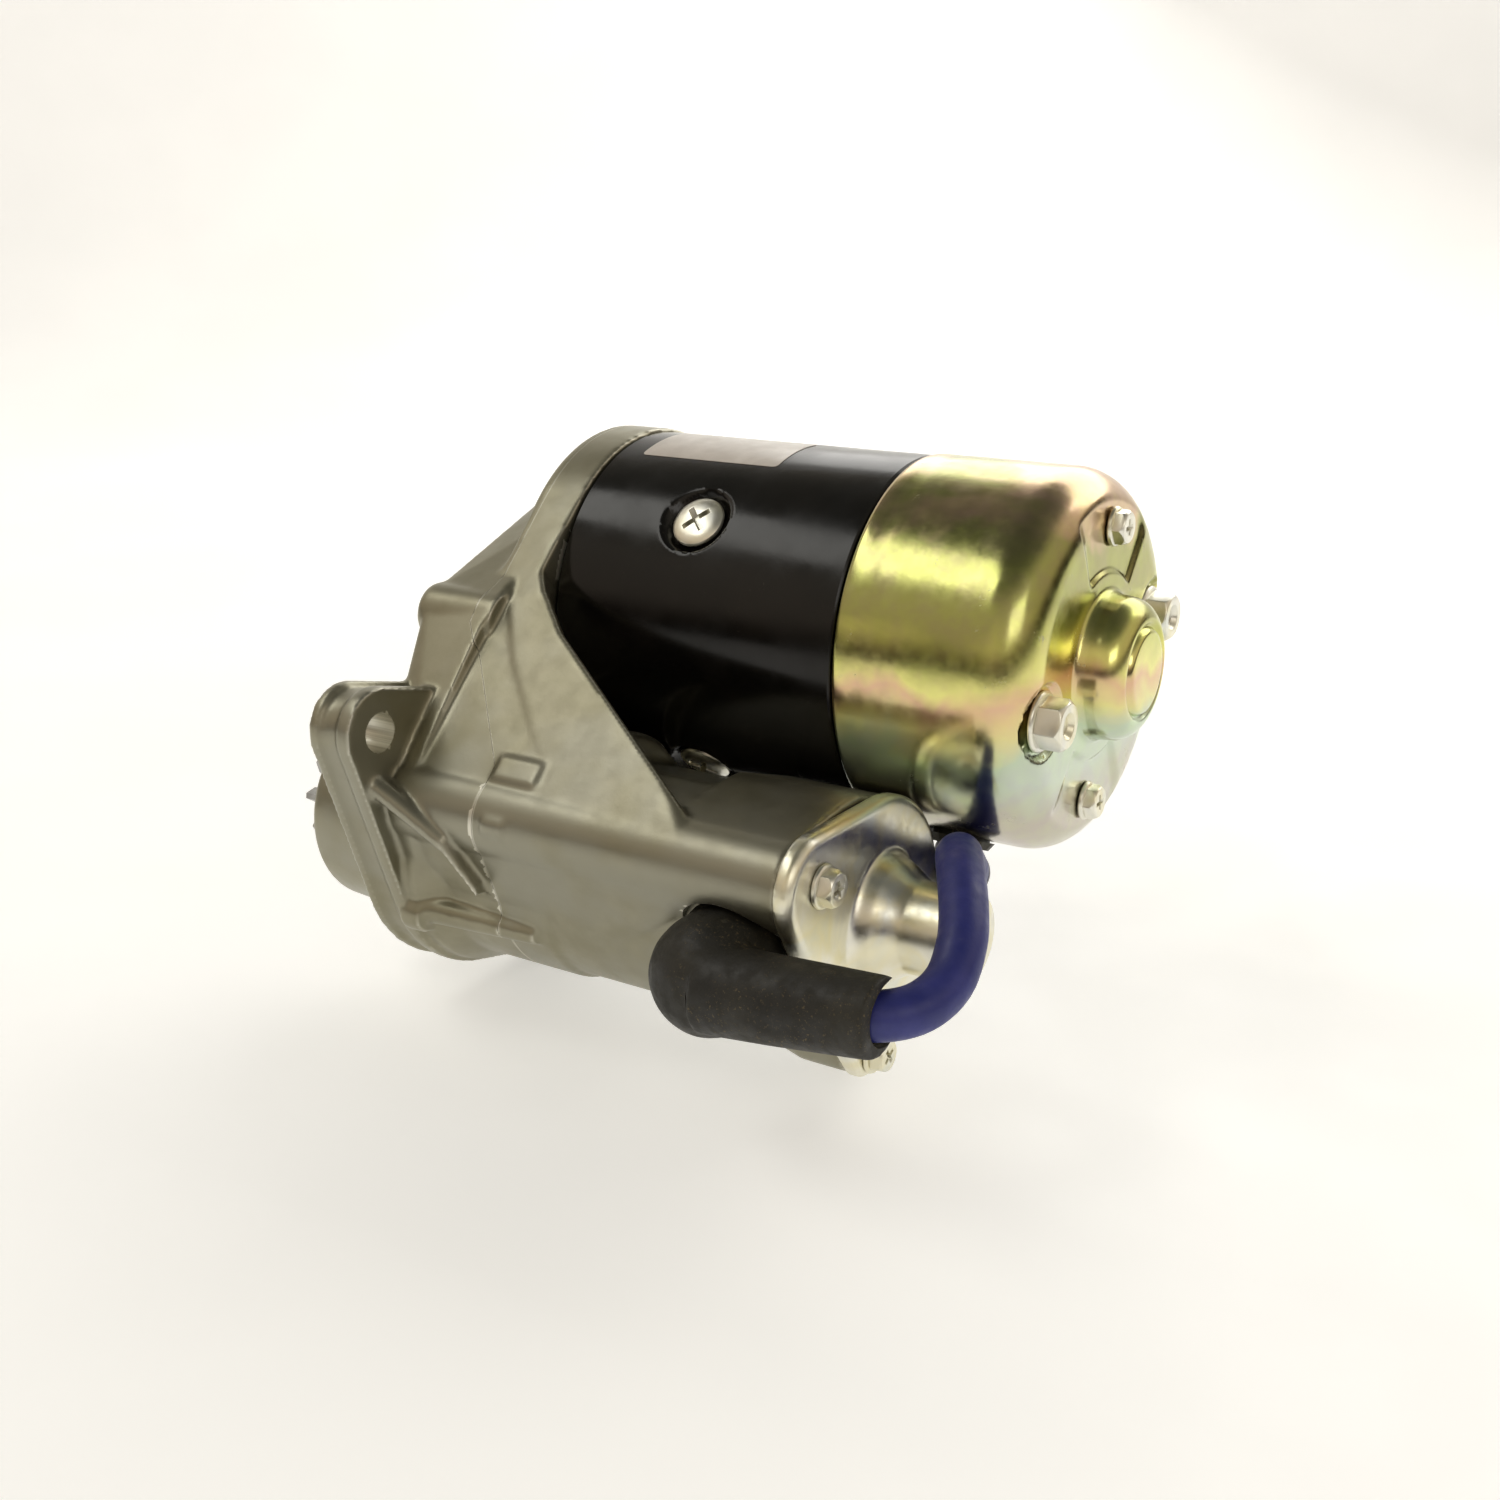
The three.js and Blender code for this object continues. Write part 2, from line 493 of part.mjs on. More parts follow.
// ---- solenoid -----------------------------------------------------------------------------
function solenoidCover() {
  const lobes = [[RIDGE_AT, 11.4, 24], [LOWER_LOBE, 6.4, 16], [FAR_LOBE, 6.4, 16]];
  const plate = wrap(ring(BARREL_END + GAP, PINION, 26.8), ring(CAP_X - 1, PINION, 26.8),
    ...lobes.flatMap(([at, r, n]) => [ring(BARREL_END + GAP, at, r, n), ring(CAP_X - 1.4, at, r, n),
      ring(CAP_X, at, r - 1.4, n)]), ring(CAP_X, PINION, 25.6));
  const cup = turned([[CAP_X - 1, 0], [CAP_X - 1, 15.4], [CAP_X, 14.8], [123.5, 13.4], [127.5, 10.4],
    [129, CUP_R], [CUP_END - 2.5, CUP_R], [CUP_END - 0.6, CUP_R - 1.2], [CUP_END, CUP_R - 3], [CUP_END, 0]],
  PINION, 24);
  const inside = turned([[110, 0], [110, 23.4], [CAP_X - 1.6, 23.4], [CAP_X - 1.6, 12.6], [127, 8.6],
    [CUP_END - 1.6, 8.4], [CUP_END - 1.6, 0]], PINION, 24);
  let body = union(plate, cup).subtract(inside);
  COVER_SCREW_ANGLES.forEach((a) => {
    body = body.subtract(rod(100, 130, 2.4, polar(COVER_SCREW_RING, a), 10));
  });
  return body;
}

const solenoidCoil = () => tube(47.5, 86, COIL_BORE - 0.6, 12.4, PINION, 24);

function plunger() {
  return turned([[34.6, 0], [34.6, 3.4], [64, 3.4], [64, 11.8], [106.4, 11.8], [106.4, 6], [112.4, 6],
    [112.4, 4], [136, 4], [136, 0]], PINION, 20);
}

const contactPlate = () => tube(108, 110.6, 17.6, 6.4, PINION, 20);

function fixedContact(angle) {
  const foot = box(89, 92.2, 13.2, 22.5, -8, 8);
  const leg = box(89, 110.5, 20.4, 22.5, -6.5, 6.5)
    .subtract(radial(rod(15, 30, 4.4, [0, 0], 12), 0, TERMINAL_X));
  return spun(union(foot, leg), angle);
}

function stud(x, angle, length) {
  const hex = Array.from({ length: 6 }, (_, i) => polar(5.9, 60 * i));
  const body = union(prism(hex, 17.6, 20.2), rod(20, length, 4, [0, 0], 16));
  return radial(body, angle, x);
}

function nut(x, angle, from, across = 13) {
  const hex = Array.from({ length: 6 }, (_, i) => polar(across / Math.sqrt(3), 60 * i));
  const body = prism(hex, from, from + 5.5).subtract(rod(0, 60, 4.3, [0, 0], 16));
  return radial(body, angle, x);
}

function switchTerminal() {
  const body = union(rod(24.4, 30.5, 3.0, [0, 0], 12), rod(28.7, 31, 5.4, [0, 0], 12),
    box(30, 41, -0.4, 0.4, -3.15, 3.15));
  return radial(body, SWITCH_ANGLE, 80);
}

function plungerSpring() {
  const turns = 4;
  const points = Array.from({ length: turns * 8 + 1 }, (_, i) => {
    const a = 2 * Math.PI * i / 8;
    return new THREE.Vector3(49.5 + 13.4 * i / (turns * 8), 6.4 * Math.cos(a), 6.4 * Math.sin(a));
  });
  const wire = new THREE.Shape(ring(0, [0, 0], 0.8, 5).map((v) => new THREE.Vector2(v.y, v.z)));
  return solid(new THREE.ExtrudeGeometry(wire, { steps: turns * 8,
    extrudePath: new THREE.CatmullRomCurve3(points), bevelEnabled: false }));
}

// ---- gear train and overrunning clutch ----------------------------------------------------
function idlerGear() {
  const outline = shift(gearOutline(IDLER_TEETH, MODULE, LEAN + Math.PI, 2), IDLER);
  return prism(outline, ...GEAR_X).subtract(rod(0, 20, 4.4, IDLER, 16));
}

function clutchOuter() {
  const toothAt = LEAN + Math.PI / CLUTCH_TEETH;
  const gear = prism(gearOutline(CLUTCH_TEETH, MODULE, toothAt, 2), ...GEAR_X);
  const drum = turned([[GEAR_X[1] - 1, 0], [GEAR_X[1] - 1, 23.6], [29, 23.6], [30.5, 22], [30.5, 0]],
    PINION, 24);
  return union(gear, drum).subtract(rod(0, 40, 13, PINION, 20)).subtract(rod(14, 40, 17.5, PINION, 20));
}

const clutchInner = () => turned([[-8, 7.5], [-8, 10], [3, 10], [3, 12.4], [31.5, 12.4], [31.5, 7.5]],
  PINION, 20);

function pinionShaft() {
  return turned([[-40, 0], [-40, 5.2], [-39.2, 6], [-21, 6], [-21, 7.1], [30, 7.1], [30, 0]], PINION, 24);
}

function pinionGear() {
  const outline = gearOutline(PINION_TEETH, PINION_MODULE, rad(130), 3, 0.3);
  return prism(outline, -38.5, -21.5).subtract(rod(-45, -10, 6.3, PINION, 24));
}

const steelBall = () => solid(new THREE.SphereGeometry(2.1, 10, 8).translate(32.3, 0, 0));

// ---- assembly -----------------------------------------------------------------------------
const starter = new THREE.Group();
const motor = new THREE.Group();
motor.position.set(0, MOTOR[0], MOTOR[1]);
const pinionLine = new THREE.Group();
starter.add(motor, pinionLine);

starter.add(mesh('drive_housing', driveHousing(), castAluminium()));
starter.add(mesh('switch_housing', switchHousing(), castAluminium()));
BOSSES.forEach((at, i) => {
  const hex = Array.from({ length: 6 }, (_, k) => polar(5.77, 60 * k, at));
  const bolt = union(prism(hex, -4.2, -0.1), rod(-1, 19.5, 2.95, at, 12));
  starter.add(mesh(`housing_bolt_${i + 1}`, bolt, brightZinc()));
});

motor.add(mesh('yoke', yoke(), blackPaint()));
motor.add(mesh('end_cover', endCover(), yellowZinc()));
POLE_ANGLES.forEach((a, i) => {
  motor.add(mesh(`pole_shoe_${i + 1}`, poleShoe(a), steel()));
  motor.add(mesh(`field_coil_${i + 1}`, fieldCoil(a), copper()));
  motor.add(mesh(`pole_screw_${i + 1}`, poleScrew(a), brightZinc()));
});
motor.add(mesh('armature_shaft', armatureShaft(), steel()));
motor.add(mesh('armature_core', armatureCore(), steel()));
motor.add(mesh('winding_front', windingEnd(33.6, 26), copper()));
motor.add(mesh('winding_rear', windingEnd(89.4, 100), copper()));
motor.add(mesh('commutator', commutator(), copper()));
motor.add(mesh('brush_holder', brushHolder(), steel()));
for (let i = 0; i < 4; i++) motor.add(mesh(`brush_${i + 1}`, brush(i), carbon()));
motor.add(mesh('bearing_front', tube(14.9, 22.9, 14, 6, [0, 0], 20), steel()));
motor.add(mesh('bearing_rear', tube(143.2, 151.2, 13.1, 6, [0, 0], 20), steel()));
BOLT_ANGLES.forEach((a, i) => motor.add(mesh(`through_bolt_${i + 1}`,
  hexBolt(143.4, 10, 4.4, 2.9, 15.6, 7, polar(BOLT_RING, a)), brightZinc())));
BRUSH_SCREW_ANGLES.forEach((a, i) => motor.add(mesh(`brush_holder_screw_${i + 1}`,
  crossScrew(COVER_X, 4, 2.4, 2, 129, polar(BRUSH_SCREW_RING, a)), brightZinc())));

starter.add(mesh('motor_lead', motorLead(), blueCable()));
starter.add(mesh('lead_grommet', leadGrommet(), rubber()));
starter.add(mesh('terminal_boot', terminalBoot(), rubber()));

pinionLine.add(mesh('solenoid_cover', solenoidCover(), brightZinc()));
COVER_SCREW_ANGLES.forEach((a, i) => pinionLine.add(mesh(`cover_screw_${i + 1}`,
  crossScrew(CAP_X, 4.2, 3, 2, 107, polar(COVER_SCREW_RING, a)), brightZinc())));
pinionLine.add(mesh('solenoid_coil', solenoidCoil(), copper()));
pinionLine.add(mesh('plunger', plunger(), steel()));
pinionLine.add(mesh('plunger_spring', plungerSpring(), steel()));
pinionLine.add(mesh('contact_plate', contactPlate(), copper()));
[['motor', TERMINAL_ANGLE, 46, 30.5], ['battery', BATTERY_ANGLE, 47, 30]].forEach(
  ([name, angle, end, seat]) => {
    pinionLine.add(mesh(`${name}_contact`, fixedContact(angle), copper()));
    pinionLine.add(mesh(`${name}_stud`, stud(TERMINAL_X, angle, end), brightZinc()));
    pinionLine.add(mesh(`${name}_nut`, nut(TERMINAL_X, angle, seat), brightZinc()));
  });
pinionLine.add(mesh('switch_terminal', switchTerminal(), brightZinc()));
pinionLine.add(mesh('idler_gear', idlerGear(), steel()));
pinionLine.add(mesh('idler_pin', rod(-0.9, 19.5, 4, IDLER, 16), steel()));
pinionLine.add(mesh('clutch_outer', clutchOuter(), steel()));
pinionLine.add(mesh('clutch_inner', clutchInner(), steel()));
pinionLine.add(mesh('clutch_bearing', tube(-8.2, 2.4, 20, 10.4, PINION, 20), steel()));
pinionLine.add(mesh('pinion_shaft', pinionShaft(), steel()));
pinionLine.add(mesh('pinion_gear', pinionGear(), steel()));
pinionLine.add(mesh('steel_ball', steelBall(), steel()));

export default starter;
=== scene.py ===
"""Offset gear-reduction starter motor: its looks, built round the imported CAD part.

Blender 4.5, +Z up. Sizes are in millimetres in the part's own frame (origin on the pinion axis, in
the plane of the mounting flange's front face; +X along the shafts) and become metres in build().
"""

import json
import math

import bmesh
import bpy
import numpy as np
from mathutils import Matrix, Vector


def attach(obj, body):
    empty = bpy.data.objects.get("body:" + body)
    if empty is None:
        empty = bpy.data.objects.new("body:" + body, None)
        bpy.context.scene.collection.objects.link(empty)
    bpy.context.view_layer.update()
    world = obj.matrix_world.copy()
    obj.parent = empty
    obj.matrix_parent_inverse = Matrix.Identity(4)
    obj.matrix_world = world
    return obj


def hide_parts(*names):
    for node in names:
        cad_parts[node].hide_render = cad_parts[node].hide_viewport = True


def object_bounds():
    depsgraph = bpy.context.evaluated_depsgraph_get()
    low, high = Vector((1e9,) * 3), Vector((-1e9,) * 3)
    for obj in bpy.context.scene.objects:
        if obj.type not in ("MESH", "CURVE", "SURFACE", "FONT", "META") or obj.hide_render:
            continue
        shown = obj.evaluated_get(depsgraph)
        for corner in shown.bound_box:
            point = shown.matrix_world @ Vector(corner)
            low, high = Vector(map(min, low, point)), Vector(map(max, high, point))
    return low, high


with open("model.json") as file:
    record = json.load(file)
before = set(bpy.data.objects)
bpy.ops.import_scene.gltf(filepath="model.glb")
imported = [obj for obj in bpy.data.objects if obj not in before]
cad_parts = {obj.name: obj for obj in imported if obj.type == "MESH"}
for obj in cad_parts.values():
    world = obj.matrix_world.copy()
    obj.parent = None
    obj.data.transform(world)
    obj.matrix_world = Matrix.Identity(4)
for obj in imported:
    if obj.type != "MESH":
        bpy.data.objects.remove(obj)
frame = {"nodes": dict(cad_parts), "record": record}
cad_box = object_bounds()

MM = 0.001

# ---- driving dimensions, the same as the CAD part's ---------------------------------------------
CENTRES = 72.0
LEAN = 41.3
PINION = (0.0, 0.0)
ALONG = (math.cos(math.radians(LEAN)), math.sin(math.radians(LEAN)))
MOTOR = (CENTRES * ALONG[0], CENTRES * ALONG[1])

JOINT_X = 13.0
SEAM_X = 37.5
LIP_X = 23.4
YOKE_END = 99.8
COVER_X = 145.0
YOKE_R = 43.0
YOKE_WALL = 3.4
COVER_R = 43.5
COVER_WALL = 2.2
CORNER_R = 11.0
FLANGE_R = 34.0
EAR_AT = (-37.0, 33.3)
EAR_R = 10.2
EAR_DEPTH = 12.0
MOUNT_HOLE_R = 4.5
BOSS_AT = (1.5, 51.3)
BOSS_R = 7.5
BARREL_R = 28.2
BARREL_BORE = 24.6
COIL_BORE = 21.2
FLAT_ANGLE = 72
FLAT_AT = 22.2
BARREL_END = 115.5
RIDGE_AT = (-27.0, 15.5)
RIDGE_R = 10.0
LOWER_LOBE = (-3.0, -30.0)
FAR_LOBE = (26.9, -14.3)
CAP_X = 120.0
CUP_END = 142.5
CUP_R = 10.0
IDLER_D = CENTRES - 1.5 * (10 + 25) / 2
IDLER = (IDLER_D * ALONG[0], IDLER_D * ALONG[1])
BOLT_RING = 30.4
BOLT_ANGLES = (191, 11)
BRUSH_SCREW_RING = 31.0
BRUSH_SCREW_ANGLES = (83, 263)
COVER_SCREW_RING = 30.5
COVER_SCREW_ANGLES = (148, 264.5, 332)
POLE_ANGLES = (47, 137, 227, 317)
POLE_X = 57.0
TERMINAL_X = 101.5
TERMINAL_ANGLE = 184.5
BATTERY_ANGLE = 298
SWITCH_ANGLE = 335
LEAD_R = 5.0
LEAD_EXIT = 248
LEAD_X = 119.5
GAP = 0.3

# ---- camera -------------------------------------------------------------------------------------
CAMERA_AT = Vector((289.0, -315.7, 150.4)) * MM
CAMERA_AZIMUTH = 32.7
CAMERA_ELEVATION = 17.5
CAMERA_LENS = 43.2


def make_camera():
    data = bpy.data.cameras.new("camera")
    data.lens = CAMERA_LENS
    data.clip_start, data.clip_end = 0.01, 20
    camera = bpy.data.objects.new("camera", data)
    camera.location = CAMERA_AT
    camera.rotation_euler = (math.radians(90 - CAMERA_ELEVATION), 0, math.radians(CAMERA_AZIMUTH))
    bpy.context.scene.collection.objects.link(camera)
    bpy.context.scene.camera = camera


make_camera()


# ---- shapes: (points, faces) in millimetres -----------------------------------------------------
def polar(r, degrees, at=PINION):
    a = math.radians(degrees)
    return (at[0] + r * math.cos(a), at[1] + r * math.sin(a))


def mirrored(p):
    """The same place on the far side of the line that joins the two axes."""
    d = p[0] * ALONG[0] + p[1] * ALONG[1]
    h = -p[0] * ALONG[1] + p[1] * ALONG[0]
    return (d * ALONG[0] + h * ALONG[1], d * ALONG[1] - h * ALONG[0])


def turned(profile, at=PINION, steps=96):
    """Turned about X. The profile of (x, r) starts and ends on the axis, or closes on itself."""
    points, rows = [], []
    for x, r in profile:
        if r == 0:
            rows.append([len(points)] * steps)
            points.append((x, *at))
        else:
            rows.append(list(range(len(points), len(points) + steps)))
            points += [(x, *polar(r, 360 * i / steps, at)) for i in range(steps)]
    pairs = list(zip(rows, rows[1:]))
    if profile[0][1] != 0:
        pairs.append((rows[-1], rows[0]))
    faces = []
    for a, b in pairs:
        for i in range(steps):
            j = (i + 1) % steps
            face = list(dict.fromkeys((a[i], a[j], b[j], b[i])))
            if len(face) > 2:
                faces.append(face)
    return points, faces


def rod(x0, x1, r, at=PINION, steps=64):
    return turned([(x0, 0), (x0, r), (x1, r), (x1, 0)], at, steps)


def prism(outline, x0, x1):
    n = len(outline)
    points = [(x0, y, z) for y, z in outline] + [(x1, y, z) for y, z in outline]
    faces = [list(range(n))[::-1], list(range(n, 2 * n))]
    faces += [[i, (i + 1) % n, n + (i + 1) % n, n + i] for i in range(n)]
    return points, faces


def block(x0, x1, y0, y1, z0, z1):
    return prism([(y0, z0), (y1, z0), (y1, z1), (y0, z1)], x0, x1)


def ring(x, at, r, steps=64):
    return [(x, *polar(r, 360 * i / steps, at)) for i in range(steps)]


def wrap(*rings):
    """The tightest skin round a set of rings."""
    bm = bmesh.new()
    for p in (p for one in rings for p in one):
        bm.verts.new(p)
    bmesh.ops.convex_hull(bm, input=bm.verts, use_existing_faces=False)
    bmesh.ops.delete(bm, geom=[v for v in bm.verts if not v.link_faces], context="VERTS")
    bm.verts.index_update()
    shape = ([tuple(v.co) for v in bm.verts], [[v.index for v in f.verts] for f in bm.faces])
    bm.free()
    return shape


def moved(shape, matrix):
    return [tuple(matrix @ Vector(p)) for p in shape[0]], shape[1]


def radial(shape, degrees, x, at=PINION):
    """Stands a shape made along X on a round body: X turns outward, at that angle and place."""
    a = math.radians(degrees)
    out, along = Vector((0, math.cos(a), math.sin(a))), Vector((1, 0, 0))
    basis = Matrix((out, along, out.cross(along))).transposed().to_4x4()
    return moved(shape, Matrix.Translation((x, *at)) @ basis)


def smooth_path(route, spacing):
    """Points along a centripetal Catmull-Rom curve through the route."""
    p = [Vector(q) for q in route]
    p = [2 * p[0] - p[1], *p, 2 * p[-1] - p[-2]]
    path = []
    for a, b, c, d in zip(p, p[1:], p[2:], p[3:]):
        t0 = 0.0
        t1 = t0 + (b - a).length ** 0.5
        t2 = t1 + (c - b).length ** 0.5
        t3 = t2 + (d - c).length ** 0.5
        count = max(2, round((c - b).length / spacing))
        for i in range(count):
            t = t1 + (t2 - t1) * i / count
            a1 = a * ((t1 - t) / (t1 - t0)) + b * ((t - t0) / (t1 - t0))
            a2 = b * ((t2 - t) / (t2 - t1)) + c * ((t - t1) / (t2 - t1))
            a3 = c * ((t3 - t) / (t3 - t2)) + d * ((t - t2) / (t3 - t2))
            b1 = a1 * ((t2 - t) / (t2 - t0)) + a2 * ((t - t0) / (t2 - t0))
            b2 = a2 * ((t3 - t) / (t3 - t1)) + a3 * ((t - t1) / (t3 - t1))
            path.append(b1 * ((t2 - t) / (t2 - t1)) + b2 * ((t - t1) / (t2 - t1)))
    path.append(p[-2])
    return path


def sweep(path, radii, steps=40):
    """A closed tube of changing radius along a path."""
    side = (path[1] - path[0]).orthogonal().normalized()
    points = []
    for i, p in enumerate(path):
        ahead = (path[min(i + 1, len(path) - 1)] - path[max(i - 1, 0)]).normalized()
        side = (side - ahead * side.dot(ahead)).normalized()
        up = ahead.cross(side)
        for k in range(steps):
            a = 2 * math.pi * k / steps
            points.append(tuple(p + radii[i] * (math.cos(a) * side + math.sin(a) * up)))
    faces = [[i * steps + k, i * steps + (k + 1) % steps,
              (i + 1) * steps + (k + 1) % steps, (i + 1) * steps + k]
             for i in range(len(path) - 1) for k in range(steps)]
    faces += [list(range(steps)), [(len(path) - 1) * steps + k for k in range(steps)]]
    return points, faces


# ---- meshes from shapes -------------------------------------------------------------------------
def build(name, *shapes):
    """One mesh object of closed skins, in metres, faces outward."""
    bm = bmesh.new()
    for points, faces in shapes:
        verts = [bm.verts.new(Vector(p) * MM) for p in points]
        for f in faces:
            bm.faces.new([verts[i] for i in f])
    bmesh.ops.recalc_face_normals(bm, faces=bm.faces)
    mesh = bpy.data.meshes.new(name)
    bm.to_mesh(mesh)
    bm.free()
    obj = bpy.data.objects.new(name, mesh)
    bpy.context.scene.collection.objects.link(obj)
    return obj


def settle(obj):
    """Applies the object's modifiers."""
    evaluated = obj.evaluated_get(bpy.context.evaluated_depsgraph_get())
    mesh = bpy.data.meshes.new_from_object(evaluated)
    obj.modifiers.clear()
    old, obj.data = obj.data, mesh
    bpy.data.meshes.remove(old)
    return obj


def shape_of(obj):
    return [tuple(v.co / MM) for v in obj.data.vertices], [list(p.vertices) for p in obj.data.polygons]


def combine(obj, operation, shapes):
    """Cuts shapes from, joins them to or keeps them of a closed mesh."""
    tools = [build("tool", s) for s in shapes]
    for tool in tools:
        modifier = obj.modifiers.new("combine", "BOOLEAN")
        modifier.operation, modifier.solver, modifier.object = operation, "MANIFOLD", tool
    settle(obj)
    for tool in tools:
        mesh = tool.data
        bpy.data.objects.remove(tool)
        bpy.data.meshes.remove(mesh)
    return obj


def cut(obj, *shapes):
    return combine(obj, "DIFFERENCE", shapes)


def join(obj, *shapes):
    return combine(obj, "UNION", shapes)


def keep(obj, shape):
    return combine(obj, "INTERSECT", [shape])


def remesh(obj, voxel):
    modifier = obj.modifiers.new("remesh", "REMESH")
    modifier.mode, modifier.voxel_size = "VOXEL", voxel * MM
    return settle(obj)


def soften(obj, width, segments=2, angle=35):
    modifier = obj.modifiers.new("soften", "BEVEL")
    modifier.width, modifier.segments = width * MM, segments
    modifier.limit_method, modifier.angle_limit = "ANGLE", math.radians(angle)
    return settle(obj)


def relax(obj, rounds):
    """Rounds edges and inner corners: each point moves halfway to the mean of its neighbours."""
    mesh = obj.data
    co = np.empty(len(mesh.vertices) * 3)
    mesh.vertices.foreach_get("co", co)
    co = co.reshape(-1, 3)
    ends = np.empty(len(mesh.edges) * 2, int)
    mesh.edges.foreach_get("vertices", ends)
    a, b = ends[0::2], ends[1::2]
    to, frm = np.concatenate((a, b)), np.concatenate((b, a))
    degree = np.maximum(np.bincount(to, minlength=len(co)), 1)
    for _ in range(rounds):
        for k in range(3):
            mean = np.bincount(to, weights=co[frm, k], minlength=len(co)) / degree
            co[:, k] += 0.5 * (mean - co[:, k])
    mesh.vertices.foreach_set("co", co.ravel())
    mesh.update()
    return obj


def finish_piece(obj, material, body="frame", replaces=(), sharp=35):
    obj.data.materials.clear()
    obj.data.materials.append(material)
    obj.data.shade_smooth()
    obj.data.set_sharp_from_angle(angle=math.radians(sharp))
    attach(obj, body)
    if replaces:
        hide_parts(*replaces)
    return obj


# ---- materials ----------------------------------------------------------------------------------
class Finish:
    """A procedural material. Its texture coordinates are the part's own frame, in metres."""

    def __init__(self, name, metallic=0.0, coat=0.0, coat_roughness=0.1, shine=0.5):
        self.material = bpy.data.materials.new(name)
        self.material.use_nodes = True
        self.tree = self.material.node_tree
        self.shader = self.tree.nodes["Principled BSDF"]
        self.shader.inputs["Metallic"].default_value = metallic
        self.shader.inputs["Specular IOR Level"].default_value = shine
        self.shader.inputs["Coat Weight"].default_value = coat
        self.shader.inputs["Coat Roughness"].default_value = coat_roughness
        self.place = self.add("ShaderNodeTexCoord").outputs["Object"]
        self.geometry = self.add("ShaderNodeNewGeometry")

    def add(self, kind, **settings):
        node = self.tree.nodes.new(kind)
        for key, value in settings.items():
            setattr(node, key, value)
        return node

    def feed(self, socket, value):
        if isinstance(value, bpy.types.NodeSocket):
            self.tree.links.new(value, socket)
        else:
            socket.default_value = value

    def noise(self, size_mm, detail=3.0, roughness=0.55, stretch=(1, 1, 1), distortion=0.0):
        """Noise with features about size_mm across, from 0 to 1."""
        place = self.place
        if stretch != (1, 1, 1):
            scaled = self.add("ShaderNodeVectorMath", operation="MULTIPLY")
            self.feed(scaled.inputs[0], self.place)
            scaled.inputs[1].default_value = stretch
            place = scaled.outputs[0]
        node = self.add("ShaderNodeTexNoise")
        self.feed(node.inputs["Vector"], place)
        node.inputs["Scale"].default_value = 1 / (size_mm * MM)
        node.inputs["Detail"].default_value = detail
        node.inputs["Roughness"].default_value = roughness
        node.inputs["Distortion"].default_value = distortion
        return node.outputs["Fac"]

    def spread(self, value, low, high, to_low=0.0, to_high=1.0):
        """Maps low..high of a value onto to_low..to_high, with soft ends."""
        node = self.add("ShaderNodeMapRange", interpolation_type="SMOOTHSTEP")
        for key, v in zip(("Value", "From Min", "From Max", "To Min", "To Max"),
                          (value, low, high, to_low, to_high)):
            self.feed(node.inputs[key], v)
        return node.outputs["Result"]

    def math(self, operation, a, b=0.0):
        node = self.add("ShaderNodeMath", operation=operation)
        self.feed(node.inputs[0], a)
        self.feed(node.inputs[1], b)
        return node.outputs[0]

    def mix(self, share, a, b):
        """Mixes two colours, given as sockets or as (r, g, b)."""
        node = self.add("ShaderNodeMix", data_type="RGBA")
        self.feed(node.inputs["Factor"], share)
        for socket, value in ((node.inputs[6], a), (node.inputs[7], b)):
            self.feed(socket, value if isinstance(value, bpy.types.NodeSocket) else (*value, 1))
        return node.outputs[2]

    def ramp(self, value, stops):
        node = self.add("ShaderNodeValToRGB")
        elements = node.color_ramp.elements
        while len(elements) < len(stops):
            elements.new(0.5)
        for element, (at, colour) in zip(elements, stops):
            element.position, element.color = at, (*colour, 1)
        self.feed(node.inputs["Fac"], value)
        return node.outputs["Color"]

    def edges(self, low=0.53, high=0.62):
        """1 on outer edges, where the surface is sharply convex: a mask for worn edges, and in the cast
        aluminium also for painted edge highlights.
        """
        return self.spread(self.geometry.outputs["Pointiness"], low, high)

    def crevice_shade(self, reach_mm):
        """1 deep in corners and gaps, 0 in the open: a mask for painted shade."""
        node = self.add("ShaderNodeAmbientOcclusion", samples=4)
        node.inputs["Distance"].default_value = reach_mm * MM
        return self.spread(node.outputs["AO"], 0.25, 0.85, 1.0, 0.0)

    def bump(self, *layers):
        """Layers of (height, depth in mm) laid over each other."""
        normal = None
        for height, depth in layers:
            node = self.add("ShaderNodeBump")
            node.inputs["Distance"].default_value = depth * MM
            self.feed(node.inputs["Height"], height)
            if normal is not None:
                self.feed(node.inputs["Normal"], normal)
            normal = node.outputs["Normal"]
        self.feed(self.shader.inputs["Normal"], normal)

    def done(self, colour, roughness):
        self.feed(self.shader.inputs["Base Color"], colour)
        self.feed(self.shader.inputs["Roughness"], roughness)
        return self.material


def cast_aluminium():
    f = Finish("cast_aluminium", metallic=0.9)
    grain, patches, stains = f.noise(0.9, 4, 0.7), f.noise(9, 4), f.noise(34, 3)
    colour = f.mix(f.spread(patches, 0.3, 0.72), (0.265, 0.25, 0.175), (0.31, 0.292, 0.212))
    colour = f.mix(f.spread(stains, 0.42, 0.62), colour, (0.30, 0.29, 0.228))
    # Painted shade: the colour darkens towards near black deep in corners, gaps and holes.
    colour = f.mix(f.math("MULTIPLY", f.crevice_shade(5), 0.45), colour, (0.06, 0.053, 0.035))
    # Sharp convex edges lightened towards a pale colour: partly edge wear, partly a painted highlight.
    colour = f.mix(f.math("MULTIPLY", f.edges(0.515, 0.575), 0.8), colour, (0.80, 0.78, 0.68))
    f.bump((f.noise(12, 2), 0.02), (grain, 0.02))
    return f.done(colour, f.spread(f.noise(5, 4), 0.3, 0.75, 0.36, 0.43))


